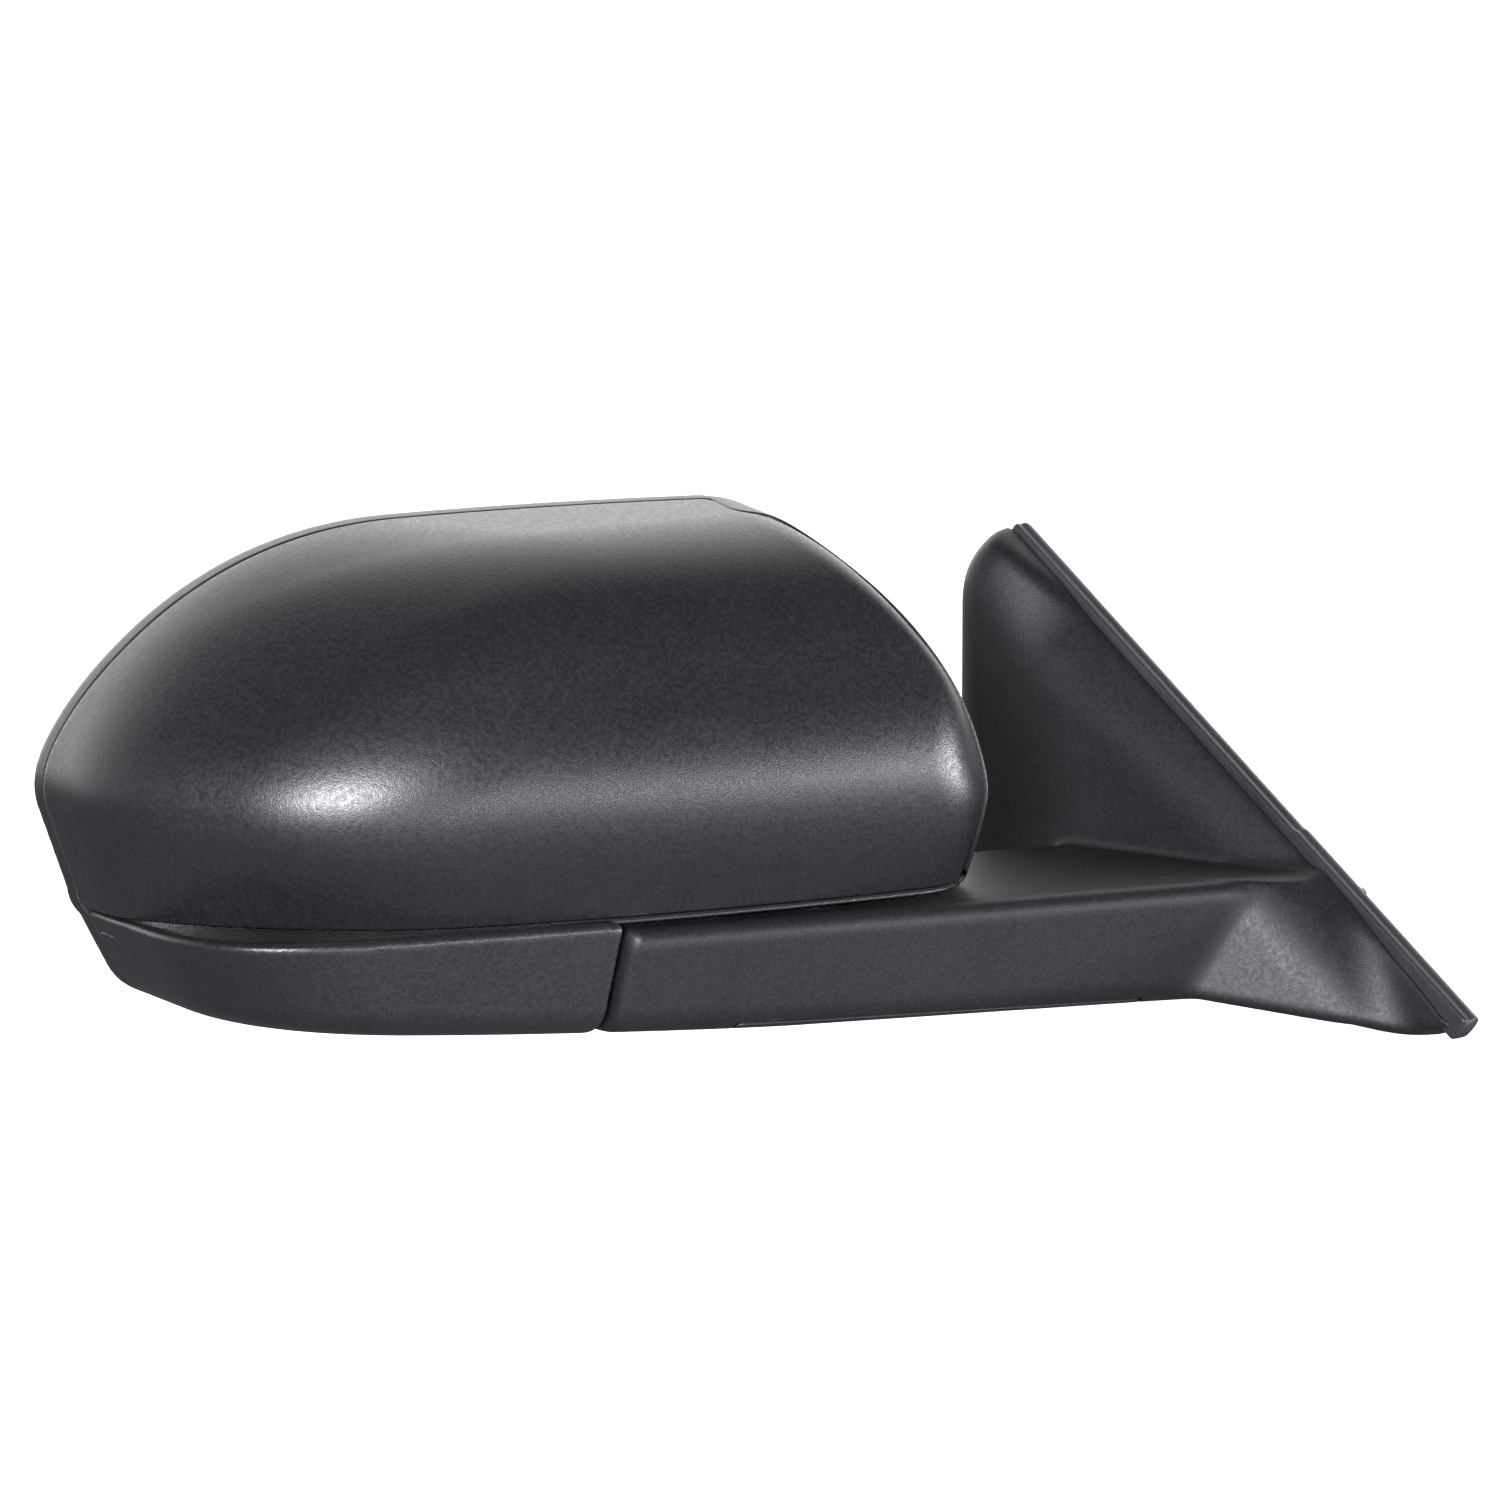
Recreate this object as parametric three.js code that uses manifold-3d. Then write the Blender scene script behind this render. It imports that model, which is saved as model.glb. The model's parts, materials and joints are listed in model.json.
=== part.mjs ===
// Car side mirror for the right-hand door: a sail that bolts to the door's front corner, a fixed
// arm, and a head that folds about a spring-loaded upright post and carries a motor-tilted glass.
// Millimetres, +Z up. Plane x = 0 is the door face; the head reaches towards -X (outboard),
// -Y is the front of the car and +Y the rear. z = 0 is about level with the arm's underside.
//
// Head frame: out (outboard), fore (forward), z. Its origin is HEAD_ORIGIN.
// Optic frame: out, depth (forward from the plane of the glass opening), z from the glass centre.
import * as THREE from 'three';
import { mergeVertices } from 'three/addons/utils/BufferGeometryUtils.js';
import { ConvexGeometry } from 'three/addons/geometries/ConvexGeometry.js';
import Module from 'manifold-3d';

const kernel = await Module();
kernel.setup();
const { Manifold, Mesh } = kernel;

// ---------------------------------------------------------------- driving dimensions
const HEAD_SWEEP = 20;            // degrees the head leans back from straight outboard
const HEAD_ORIGIN = [-143.5, 50, 0];
const FOLD_CENTRE = [0, 8];       // the fold axis in the head frame (out, fore)
const ARM_END_R = 70;             // arm end, a cylinder about the fold axis
const COVER_END_R = 73;           // lower cover's inboard end, same centre
const ARM_TOP = 33.4;
const ARM_REAR = -44;
const HEAD_FLOOR = 34.9;          // underside of the head over the arm
const CAP_EDGE = 36.6;            // lower edge of the skull cap
const COVER_TOP = 36.2;           // upper edge of the lower cover
const HOUSING_LOW_TOP = CAP_EDGE + 0.4; // top of the rear housing's part below the cap edge
const WALL = 2.6;
const REAR_TILT = 4;              // degrees the glass opening turns in from the head's own rear
const RIM_POINT = [78, -43.2];    // a point of the opening plane (out, fore)
const RIM_DEPTH = 9;              // the rear housing's rim, from the opening to the split
const SPLIT_OUT = 8;              // inboard of this the split follows FLANK_SPLIT
const SPLIT_GAP = 0.2;            // on either side of the split
const GLASS_Z = 88;
const GLASS_DEPTH = 5;            // depth of the glass behind the opening plane
const GLASS_T = 2;
const GIMBAL_DEPTH = 16;          // tilt centre, forward of the opening plane
const JACK_R = 28;                // jack screw distance from the tilt centre
const POST_R = 11;
const POST_BORE_R = POST_R + 0.4;
const SAIL_T = 25;                // depth of the sail at its rear edge
const BRACKET_GAP = 0.4;          // between the bracket and the base moulding
const STUD_R = 3;
const STUD_OUT = 22;

// ---------------------------------------------------------------- materials
const GRAINED = { color: 0x3a3a41, roughness: 0.62, metalness: 0 };
const BLACK = { color: 0x1c1c1f, roughness: 0.55, metalness: 0 };
const RUBBER = { color: 0x141416, roughness: 0.85, metalness: 0 };
const CAST = { color: 0xa9abae, roughness: 0.5, metalness: 0.85 };
const STEEL = { color: 0xc4c7cb, roughness: 0.32, metalness: 0.95 };
const ZINC = { color: 0xb9bcae, roughness: 0.4, metalness: 0.9 };
const WHITE = { color: 0xd8d6cc, roughness: 0.5, metalness: 0 };
const DARK_STEEL = { color: 0x55585c, roughness: 0.4, metalness: 0.9 };
const MIRROR = { color: 0xdfe6ea, roughness: 0.05, metalness: 1 };
const HEATER = { color: 0x8a8478, roughness: 0.6, metalness: 0.3 };

// ---------------------------------------------------------------- numbers and outlines
const vec = (x, y, z) => new THREE.Vector3(x, y, z);
const X_AXIS = vec(1, 0, 0);
const Y_AXIS = vec(0, 1, 0);
const Z_AXIS = vec(0, 0, 1);
const SIDES = [-1, 1];
const { clamp, degToRad: radians } = THREE.MathUtils;

function smoothMax(a, b, blend) {
  const near = Math.max(blend - Math.abs(a - b), 0) / blend;
  return Math.max(a, b) + near * near * blend * 0.25;
}
// 0 at `from`, 1 at `to`, which may lie on either side of it
function smoothStep(from, to, value) {
  const t = clamp((value - from) / (to - from), 0, 1);
  return t * t * (3 - 2 * t);
}

const rect = (x0, x1, y0, y1) => [[x0, y0], [x1, y0], [x1, y1], [x0, y1]];
// angles in radians; steps + 1 points
const arc = (radius, start, end, steps, [x, y]) => Array.from({ length: steps + 1 }, (_, i) => {
  const angle = start + (end - start) * i / steps;
  return [x + radius * Math.cos(angle), y + radius * Math.sin(angle)];
});
const circle = (radius, segments, centre = [0, 0]) =>
  arc(radius, 0, 2 * Math.PI, segments, centre).slice(0, -1);

// polygon with rounded corners from a list of [x, y, radius]
function rounded(corners, steps) {
  const count = corners.length;
  return corners.flatMap(([x, y, radius], i) => {
    if (!radius) return [[x, y]];
    const corner = new THREE.Vector2(x, y);
    const towards = (j) => new THREE.Vector2(corners[j][0], corners[j][1]).sub(corner);
    const back = towards((i + count - 1) % count);
    const ahead = towards((i + 1) % count);
    const backLength = back.length();
    const aheadLength = ahead.length();
    back.normalize();
    ahead.normalize();
    const half = Math.acos(clamp(back.dot(ahead), -1, 1)) / 2;
    const tangent = Math.min(radius / Math.tan(half), 0.49 * backLength, 0.49 * aheadLength);
    const fitted = tangent * Math.tan(half);
    const centre = back.clone().add(ahead).normalize();
    centre.multiplyScalar(fitted / Math.sin(half)).add(corner);
    const first = back.multiplyScalar(tangent).add(corner).sub(centre);
    const last = ahead.multiplyScalar(tangent).add(corner).sub(centre);
    const start = Math.atan2(first.y, first.x);
    let end = Math.atan2(last.y, last.x);
    while (end - start > Math.PI) end -= 2 * Math.PI;
    while (end - start < -Math.PI) end += 2 * Math.PI;
    return arc(fitted, start, end, steps, [centre.x, centre.y]);
  });
}
// move every edge of a convex-ish polygon outwards
function offset(points, distance) {
  const count = points.length;
  let area = 0;
  for (let i = 0; i < count; i++) {
    const [p, q] = [points[i], points[(i + 1) % count]];
    area += p[0] * q[1] - q[0] * p[1];
  }
  const turn = area > 0 ? 1 : -1;
  const edgeNormal = (from, to) => {
    const edge = new THREE.Vector2(to[0] - from[0], to[1] - from[1]).normalize();
    return new THREE.Vector2(edge.y, -edge.x);
  };
  return points.map((point, i) => {
    const before = edgeNormal(points[(i + count - 1) % count], point);
    const after = edgeNormal(point, points[(i + 1) % count]);
    const mitre = before.clone().add(after).normalize();
    const shift = distance * turn / Math.max(0.25, mitre.dot(before));
    return [point[0] + mitre.x * shift, point[1] + mitre.y * shift];
  });
}

// ---------------------------------------------------------------- meshes and solids
// positions only, with shared vertices
function clean(geometry, matrix) {
  const copy = geometry.clone();
  if (matrix) copy.applyMatrix4(matrix);
  for (const key of Object.keys(copy.attributes)) {
    if (key !== 'position') copy.deleteAttribute(key);
  }
  return mergeVertices(copy, 1e-4);
}
function solid(geometry, matrix) {
  const shared = clean(geometry, matrix);
  return new Manifold(new Mesh({
    numProp: 3,
    vertProperties: new Float32Array(shared.attributes.position.array),
    triVerts: new Uint32Array(shared.index.array),
  }));
}
function geometryOf(manifold) {
  const { numProp, vertProperties, triVerts } = manifold.getMesh();
  const count = vertProperties.length / numProp;
  const positions = new Float32Array(count * 3);
  for (let i = 0; i < count; i++) {
    for (let k = 0; k < 3; k++) positions[3 * i + k] = vertProperties[i * numProp + k];
  }
  const geometry = new THREE.BufferGeometry();
  geometry.setAttribute('position', new THREE.BufferAttribute(positions, 3));
  geometry.setIndex(new THREE.BufferAttribute(new Uint32Array(triVerts), 1));
  return geometry;
}
const place = (manifold, matrix) => solid(geometryOf(manifold), matrix);

// closed mesh, turned so that its faces point out
function closedMesh(points, triangles) {
  let volume = 0;
  for (const [a, b, c] of triangles) {
    volume += points[a].dot(points[b].clone().cross(points[c]));
  }
  const geometry = new THREE.BufferGeometry();
  const positions = points.flatMap((p) => [p.x, p.y, p.z]);
  geometry.setAttribute('position', new THREE.Float32BufferAttribute(positions, 3));
  geometry.setIndex(triangles.flatMap(([a, b, c]) => (volume < 0 ? [a, c, b] : [a, b, c])));
  return geometry;
}
// matrix that turns one unit vector onto another and moves the origin
const aim = (from, to, position) => new THREE.Matrix4().compose(
  position, new THREE.Quaternion().setFromUnitVectors(from, to), vec(1, 1, 1));

const box = (x0, x1, y0, y1, z0, z1) => solid(
  new THREE.BoxGeometry(x1 - x0, y1 - y0, z1 - z0)
    .translate((x0 + x1) / 2, (y0 + y1) / 2, (z0 + z1) / 2));

function rod(radius, from, to, segments) {
  const span = to.clone().sub(from);
  const geometry = new THREE.CylinderGeometry(radius, radius, span.length(), segments);
  const middle = from.clone().add(to).multiplyScalar(0.5);
  return solid(geometry, aim(Y_AXIS, span.normalize(), middle));
}
// rods parallel to an axis, placed by their other two coordinates
const rodX = (radius, [y, z], x0, x1, segments) =>
  rod(radius, vec(x0, y, z), vec(x1, y, z), segments);
const rodY = (radius, [x, z], y0, y1, segments) =>
  rod(radius, vec(x, y0, z), vec(x, y1, z), segments);
const rodZ = (radius, [x, y], z0, z1, segments) =>
  rod(radius, vec(x, y, z0), vec(x, y, z1), segments);

// outlines extruded parallel to an axis; points are (x, y), (y, z) and (x, z)
function alongZ(points, z0, z1, holes = []) {
  const toPoints = (list) => list.map(([x, y]) => new THREE.Vector2(x, y));
  const shape = new THREE.Shape(toPoints(points));
  shape.holes = holes.map((hole) => new THREE.Path(toPoints(hole)));
  const settings = { depth: z1 - z0, bevelEnabled: false, curveSegments: 1 };
  return new THREE.ExtrudeGeometry(shape, settings).translate(0, 0, z0);
}
const basis = (...axes) => new THREE.Matrix4().makeBasis(...axes);
const alongX = (points, x0, x1) =>
  alongZ(points, x0, x1).applyMatrix4(basis(Y_AXIS, Z_AXIS, X_AXIS));
const alongY = (points, y0, y1, holes) =>
  alongZ(points, -y1, -y0, holes).applyMatrix4(basis(X_AXIS, Z_AXIS, vec(0, -1, 0)));
const prismX = (points, x0, x1) => solid(alongX(points, x0, x1));
const prismZ = (points, z0, z1) => solid(alongZ(points, z0, z1));

// revolve a closed profile of [radius, height] about an axis through `origin`
function lathe(profile, origin, axis, segments) {
  const outline = profile.map(([radius, height]) => new THREE.Vector2(radius, height));
  if (profile[0][0] > 0) outline.push(outline[0].clone());
  const turned = new THREE.LatheGeometry(outline, segments);
  const shared = clean(turned, aim(Y_AXIS, axis, origin));
  const position = shared.attributes.position;
  const index = shared.index.array;
  const points = Array.from({ length: position.count },
    (_, i) => new THREE.Vector3().fromBufferAttribute(position, i));
  // triangles at the axis may have collapsed
  const triangles = [];
  for (let i = 0; i < index.length; i += 3) {
    const [a, b, c] = index.slice(i, i + 3);
    if (a !== b && b !== c && a !== c) triangles.push([a, b, c]);
  }
  return closedMesh(points, triangles);
}
// flat-headed screw with a pointed end, from the outside of its head
function screw(size, origin, axis = Z_AXIS) {
  const { headRadius, headHeight, neck = 0.1, shankRadius, length } = size;
  return lathe([
    [0, 0], [headRadius, 0], [headRadius, headHeight],
    [shankRadius, headHeight + neck], [shankRadius, length - 1], [0, length],
  ], origin, axis, 10);
}
function cable(points, radius, steps) {
  const section = circle(radius, 8).map(([x, y]) => new THREE.Vector2(x, y));
  return new THREE.ExtrudeGeometry(new THREE.Shape(section), {
    steps,
    bevelEnabled: false,
    curveSegments: 1,
    extrudePath: new THREE.CatmullRomCurve3(points, false, 'centripetal'),
  });
}

// ---------------------------------------------------------------- frames
const HEAD_MATRIX = new THREE.Matrix4()
  .makeRotationZ(radians(180 - HEAD_SWEEP))
  .setPosition(vec(...HEAD_ORIGIN));
const TILT = radians(REAR_TILT);
const OPTIC_OUT = vec(Math.cos(TILT), -Math.sin(TILT), 0);
const OPTIC_FORE = vec(Math.sin(TILT), Math.cos(TILT), 0);
const OPTIC_MATRIX = basis(OPTIC_OUT, OPTIC_FORE, Z_AXIS).setPosition(...RIM_POINT, GLASS_Z);

const headPoint = (out, fore, z) => vec(out, fore, z).applyMatrix4(HEAD_MATRIX);
const inHead = (manifold) => place(manifold, HEAD_MATRIX);
const headPrism = (points, z0, z1) => solid(alongZ(points, z0, z1), HEAD_MATRIX);
// outline of (out, z) in the optic frame, as a solid in the head frame
const opticPrism = (points, depth0, depth1) =>
  solid(alongY(points, depth0, depth1), OPTIC_MATRIX);
const foldPoint = (z) => vec(...FOLD_CENTRE, z);
const foldRod = (radius, z0, z1, segments) => rodZ(radius, FOLD_CENTRE, z0, z1, segments);
const foldLathe = (profile) => lathe(profile, foldPoint(0), Z_AXIS, 20);
// the opening plane's fore coordinate
const rimFore = (out) => RIM_POINT[1] - (out - RIM_POINT[0]) * Math.tan(TILT);

// ---------------------------------------------------------------- surfaces of head and arm
// Each field takes head coordinates and acts like a signed distance, < 0 inside.
const LEAN_FORE = -52;            // the leans of the ends and top are measured from here
// facets: normal across, normal up, then a point of the facet (across, z)
const TIP_UPPER = [0.803, 0.596, 173.9, 126];
const TIP_MIDDLE = [0.812, 0.584, 212.4, 88];
const TIP_LOWER = [0.948, -0.319, 200.3, 47];
const FLANK_LOWER = [-0.97, -0.16, -64.3, 55];
const COVER_TIP_UPPER = [0.925, -0.379, 203.2, 47];
const COVER_TIP_LOWER = [0.878, -0.478, 196.9, 35];
// upper inboard corner of the head, a superellipse quadrant about (out, z)
const CORNER = { out: 7.7, z: 62.5, width: 67.7, height: 86.2, power: 1.31 };

const facet = ([normalAcross, normalUp, atAcross, atZ], across, z) =>
  normalAcross * (across - atAcross) + normalUp * (z - atZ);

function cornerField(out, z) {
  const { width, height, power } = CORNER;
  const across = Math.max(CORNER.out - out, 0) / width;
  const up = Math.max(z - CORNER.z, 0) / height;
  const sum = across ** power + up ** power + 1e-9;
  const slope = sum ** (1 / power - 1)
    * Math.hypot(across ** (power - 1) / width, up ** (power - 1) / height) + 1e-4;
  return clamp((sum ** (1 / power) - 1) / slope, -80, 80);
}
function headField(out, fore, z) {
  const fromLean = fore - LEAN_FORE;
  const frontFore = 57 - (out - 60) ** 2 / 1210;
  const front = smoothMax(
    facet([0.91, 0.414, frontFore, 72], fore, z),
    facet([0.875, -0.484, frontFore, 72], fore, z), 30);
  const topZ = 147.3 - 2.7e-4 * Math.max(out, 0) ** 2;
  const top = facet([0.111, 0.994, LEAN_FORE, topZ], fore, z);
  const tipOut = out + 0.115 * fromLean;
  const lowTip = smoothMax(facet(TIP_MIDDLE, tipOut, z), facet(TIP_LOWER, tipOut, z), 19.5);
  const tip = smoothMax(lowTip, facet(TIP_UPPER, tipOut, z), 10);
  const main = smoothMax(smoothMax(front, top, 28), tip, 45 + 35 * smoothStep(-40, 20, fore));
  const flankOut = out - 0.06 * fromLean;
  const flank = smoothMax(cornerField(flankOut, z), facet(FLANK_LOWER, flankOut, z), 12);
  return smoothMax(main, flank, 6 + 16 * smoothStep(105, 70, z));
}
// height of the underside, which rises outboard of out = 5
const undersideZ = (out) =>
  -0.6 - 0.021 * Math.max(5 - out, 0) + 9.6 * (clamp(out - 5, 0, 250) / 155) ** 1.275;
// common front face of the arm and lower cover
const barFrontField = (out, fore, z) =>
  facet([0.97, -0.243, 40.5 - Math.max(out - 90, 0) ** 2 / 1200, 32], fore, z);
function coverField(out, fore, z) {
  const tipOut = out + 0.094 * (fore - LEAN_FORE);
  const tip = smoothMax(
    facet(COVER_TIP_UPPER, tipOut, z), facet(COVER_TIP_LOWER, tipOut, z), 8);
  return smoothMax(smoothMax(barFrontField(out, fore, z), tip, 36), undersideZ(out) - z, 8);
}
function armField(out, fore, z) {
  const sides = smoothMax(barFrontField(out, fore, z), ARM_REAR - fore, 14);
  return smoothMax(smoothMax(sides, undersideZ(out) - z, 8), z - ARM_TOP, 7);
}

// where a ray leaves the field: coarse steps outwards, then bisection
function surfacePoint(field, origin, direction) {
  const REACH = 320;
  const STRIDE = 4;
  const along = (t) => origin.clone().addScaledVector(direction, t);
  const isOutside = (t) => field(...along(t)) > 0;
  let near = 0;
  let far = REACH;
  for (let t = 0; t <= REACH; t += STRIDE) {
    if (isOutside(t)) {
      far = t;
      break;
    }
    near = t;
  }
  for (let i = 0; i < 40; i++) {
    const middle = (near + far) / 2;
    if (isOutside(middle)) far = middle;
    else near = middle;
  }
  return along((near + far) / 2);
}

// Swept envelopes: spine ends are distances outboard of RIM_POINT; angles are swept about the
// spine, from forward (0) towards up (90).
const HEAD_SHAPE = { field: headField, spine: [-95, 70], angles: [0, 90], inboardFan: true };
const COVER_SHAPE = { field: coverField, spine: [-40, 85], angles: [-90, 0], inboardFan: false };
const FINE = { along: 7, fan: 5, around: 7 };
const COARSE = { along: 5, fan: 4, around: 5 };

// Solid between a straight spine and a field grown by growth(out). A rounded fan that closes on
// a pole ends it outboard, and inboard too if inboardFan is set. forward shifts the spine.
function sweptSolid(shape, spineZ, growth, forward, { along, fan, around }) {
  const { spine: [start, end], angles: [angle0, angle1], inboardFan } = shape;
  const origin = vec(...RIM_POINT, spineZ).addScaledVector(OPTIC_FORE, forward);
  const field = (out, fore, z) => shape.field(out, fore, z) - growth(out);

  // rows: place on the spine, and degrees the ray turns towards the spine's own direction
  const rows = [];
  if (inboardFan) for (let i = 0; i < fan; i++) rows.push([start, -90 + 90 * i / fan]);
  for (let i = 0; i <= along; i++) rows.push([start + (end - start) * i / along, 0]);
  for (let i = 1; i <= fan; i++) rows.push([end, 90 * i / fan]);

  const points = [];
  const triangles = [];
  const addPoint = (point) => points.push(point) - 1;
  const spineIndex = new Map();
  const spineAt = (t) => {
    if (!spineIndex.has(t)) {
      spineIndex.set(t, addPoint(origin.clone().addScaledVector(OPTIC_OUT, t)));
    }
    return spineIndex.get(t);
  };
  const grid = rows.map(([t, turn]) => {
    const from = points[spineAt(t)];
    if (Math.abs(turn) === 90) {
      const poleward = OPTIC_OUT.clone().multiplyScalar(Math.sign(turn));
      return Array(around + 1).fill(addPoint(surfacePoint(field, from, poleward)));
    }
    const radial = Math.cos(radians(turn));
    return Array.from({ length: around + 1 }, (_, j) => {
      const angle = radians(angle0 + (angle1 - angle0) * j / around);
      const direction = OPTIC_FORE.clone().multiplyScalar(radial * Math.cos(angle))
        .addScaledVector(Z_AXIS, radial * Math.sin(angle))
        .addScaledVector(OPTIC_OUT, Math.sin(radians(turn)));
      return addPoint(surfacePoint(field, from, direction));
    });
  });
  const quad = (a, b, c, d) => {
    if (a !== b && b !== c && a !== c) triangles.push([a, b, c]);
    if (a !== c && c !== d && a !== d) triangles.push([a, c, d]);
  };
  for (let i = 0; i + 1 < rows.length; i++) {
    const [row, next] = [grid[i], grid[i + 1]];
    for (let j = 0; j < around; j++) quad(row[j], next[j], next[j + 1], row[j + 1]);
    const [spine0, spine1] = [spineAt(rows[i][0]), spineAt(rows[i + 1][0])];
    quad(spine0, spine1, next[0], row[0]);
    quad(row[around], next[around], spine1, spine0);
  }
  if (!inboardFan) {
    for (let j = 0; j < around; j++) triangles.push([spineAt(start), grid[0][j], grid[0][j + 1]]);
  }
  return solid(closedMesh(points, triangles));
}
const flush = () => 0;
// the rear housing's flank stands proud of the skull cap
const proud = (out) => 0.9 * smoothStep(8, -6, out);
const headSolid = (spineZ, growth, forward, counts) =>
  sweptSolid(HEAD_SHAPE, spineZ, growth, forward, counts);
// envelope under the cap edge, hollowed at its inboard end round the fold axis
const coverSolid = (spineZ, inset, forward, counts) =>
  sweptSolid(COVER_SHAPE, spineZ, () => -inset, forward, counts)
    .subtract(prismZ(circle(COVER_END_R + inset, 48, FOLD_CENTRE), -30, 180));
// Cavities start this far below and behind their shells, so that the shells stay open.
const OVERRUN = 2;

// ---------------------------------------------------------------- split of the head's shells
// The skull cap and lower cover part from the rear housing just ahead of the opening's rim and,
// inboard of SPLIT_OUT, along this front edge of the inboard flank: (fore, z)
const FLANK_SPLIT = [
  [19, 30], [22, 36], [27, 48], [30.5, 62], [32, 80], [32, 95], [29, 107],
  [25, 116], [19, 124], [11, 131], [-2, 138], [-14, 144], [-24, 156],
];
function behindSplit(gap) {
  const edge = FLANK_SPLIT.map(([fore, z]) => [fore + gap, z]);
  return opticPrism(rect(-150, 160, -130, 90), -60, RIM_DEPTH + gap)
    .add(prismX([[-120, 30], ...edge, [-120, 156]], -95, SPLIT_OUT + gap));
}
const REAR_REGION = behindSplit(-SPLIT_GAP);
const FRONT_REGION = box(-95, 235, -100, 95, -30, 180).subtract(behindSplit(SPLIT_GAP));

// ---------------------------------------------------------------- shared outlines and places
// glass outline in the optic frame: out, z, corner radius
const GLASS_OUTLINE = rounded([
  [-115, -37, 16], [-118, -14, 30], [-100, 19, 34], [-68, 44.5, 26], [58, 38, 26],
  [85, 22.5, 26], [106, 0, 26], [104, -26, 26], [91, -47, 20], [62, -49, 12],
], 2);
// screw places in the head frame: out, fore
const HOUSING_SCREWS = [[46, 24], [46, -10], [-32, 15]];
const COVER_SCREWS = [112, 164].map((out) => [out, rimFore(out) + 19]);
const BOTTOM_SCREWS = [[-84, -22], [-84, 17], [40, 12]];
// underside of a bottom cover screw's head, just inside the arm's underside
const screwSeatZ = (out) => Math.max(undersideZ(out) + 0.5, 0);
// optic frame: out, z
const ACTUATOR_SCREWS = [[-29.5, -18.5], [29.5, -18.5], [0, 31.5]];
const JACKS = { v: [0, -JACK_R], h: [JACK_R, 0] };
// door plane: y, z
const STUDS = [[70, 92], [70, 20], [-30, 22]];
const HARNESS_HOLE = [30, 48];

// ================================================================ shells of the head
// large front shell
function skullCap() {
  const outer = headSolid(CAP_EDGE, flush, 0, FINE);
  const inner = headSolid(CAP_EDGE - OVERRUN, () => -WALL, -OVERRUN, COARSE);
  return outer.subtract(inner).intersect(FRONT_REGION);
}

// plan section of the head at the cap edge, moved in by inset and squared off at out = 84
function floorOutline(inset) {
  const END_OUT = 84;
  const REAR_GAP = 0.4;
  const field = (out, fore, z) => headField(out, fore, z) + inset;
  const origin = vec(...RIM_POINT, CAP_EDGE);
  const from = (t) => origin.clone().addScaledVector(OPTIC_OUT, t);
  const points = [];
  for (let i = 0; i <= 8; i++) {
    const angle = radians(-90 + 90 * i / 8);
    const direction = OPTIC_FORE.clone().multiplyScalar(Math.cos(angle))
      .addScaledVector(OPTIC_OUT, Math.sin(angle));
    points.push(surfacePoint(field, from(-95), direction));
  }
  for (let t = -80; t <= -2; t += 13) points.push(surfacePoint(field, from(t), OPTIC_FORE));
  return [
    [points[0].x, rimFore(points[0].x) + REAR_GAP],
    ...points.slice(1).map((p) => [p.x, p.y]),
    [END_OUT, points.at(-1).y],
    [END_OUT, rimFore(END_OUT) + REAR_GAP],
  ];
}
// floor over the arm, notched for the lower cover's top edge and end wall
function housingFloor() {
  const notch = [[60, rimFore(60) + 8.6], [95, rimFore(95) + 8.6], [95, 95], [60, 95]];
  return prismZ(floorOutline(0.5), HEAD_FLOOR, CAP_EDGE - 0.4)
    .add(prismZ(floorOutline(4.2), CAP_EDGE - 0.8, 38.4))
    .subtract(prismZ(circle(22.4, 36, FOLD_CENTRE), 30, 45))
    .subtract(prismZ(notch, 30, 45));
}
// flank, rim round the glass and floor over the arm
function rearHousing() {
  const upper = headSolid(CAP_EDGE, proud, 0, FINE);
  const upperCavity = headSolid(
    CAP_EDGE - OVERRUN, (out) => proud(out) - 3, -OVERRUN, COARSE);
  const lower = coverSolid(HOUSING_LOW_TOP, 0, 0, FINE);
  const lowerCavity = coverSolid(CAP_EDGE + OVERRUN, WALL, -OVERRUN, COARSE);
  const floor = housingFloor();
  const face = upper.add(lower).intersect(opticPrism(rect(-150, 150, -120, 80), 0.02, 3));

  // tube round the glass, kept inside the shells
  const within = (inset) => headSolid(CAP_EDGE, (out) => proud(out) - inset, 0, COARSE)
    .add(coverSolid(HOUSING_LOW_TOP, inset, 0, COARSE))
    .add(floor);
  const tubeOutline = offset(GLASS_OUTLINE, 6.2);
  const tube = opticPrism(tubeOutline, 0.5, 8.7).intersect(within(1.2))
    .add(opticPrism(tubeOutline, 8, 12).intersect(within(3.6)));
  const opening = opticPrism(offset(GLASS_OUTLINE, 4.2), -4, 40)
    .intersect(box(-120, 230, -90, 60, 39, 170).add(box(77, 230, -90, 60, -20, 170)));

  let housing = upper.subtract(upperCavity).intersect(REAR_REGION)
    .add(lower.subtract(lowerCavity).intersect(REAR_REGION))
    .add(face).add(floor).add(tube).subtract(opening);
  // two tongues that take the lower cover's screws
  for (const [out, fore] of COVER_SCREWS) {
    housing = housing.add(box(out - 7, out + 7, fore - 17, fore + 7, 20.4, 23.4))
      .subtract(rodZ(1.7, [out, fore], 15, 30, 10));
  }
  // stepped holes for the screws into the head frame
  for (const site of HOUSING_SCREWS) {
    housing = housing.subtract(rodZ(2.3, site, 30, 45, 10))
      .subtract(rodZ(4.2, site, 30, 36.9, 12));
  }
  return housing;
}

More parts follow.
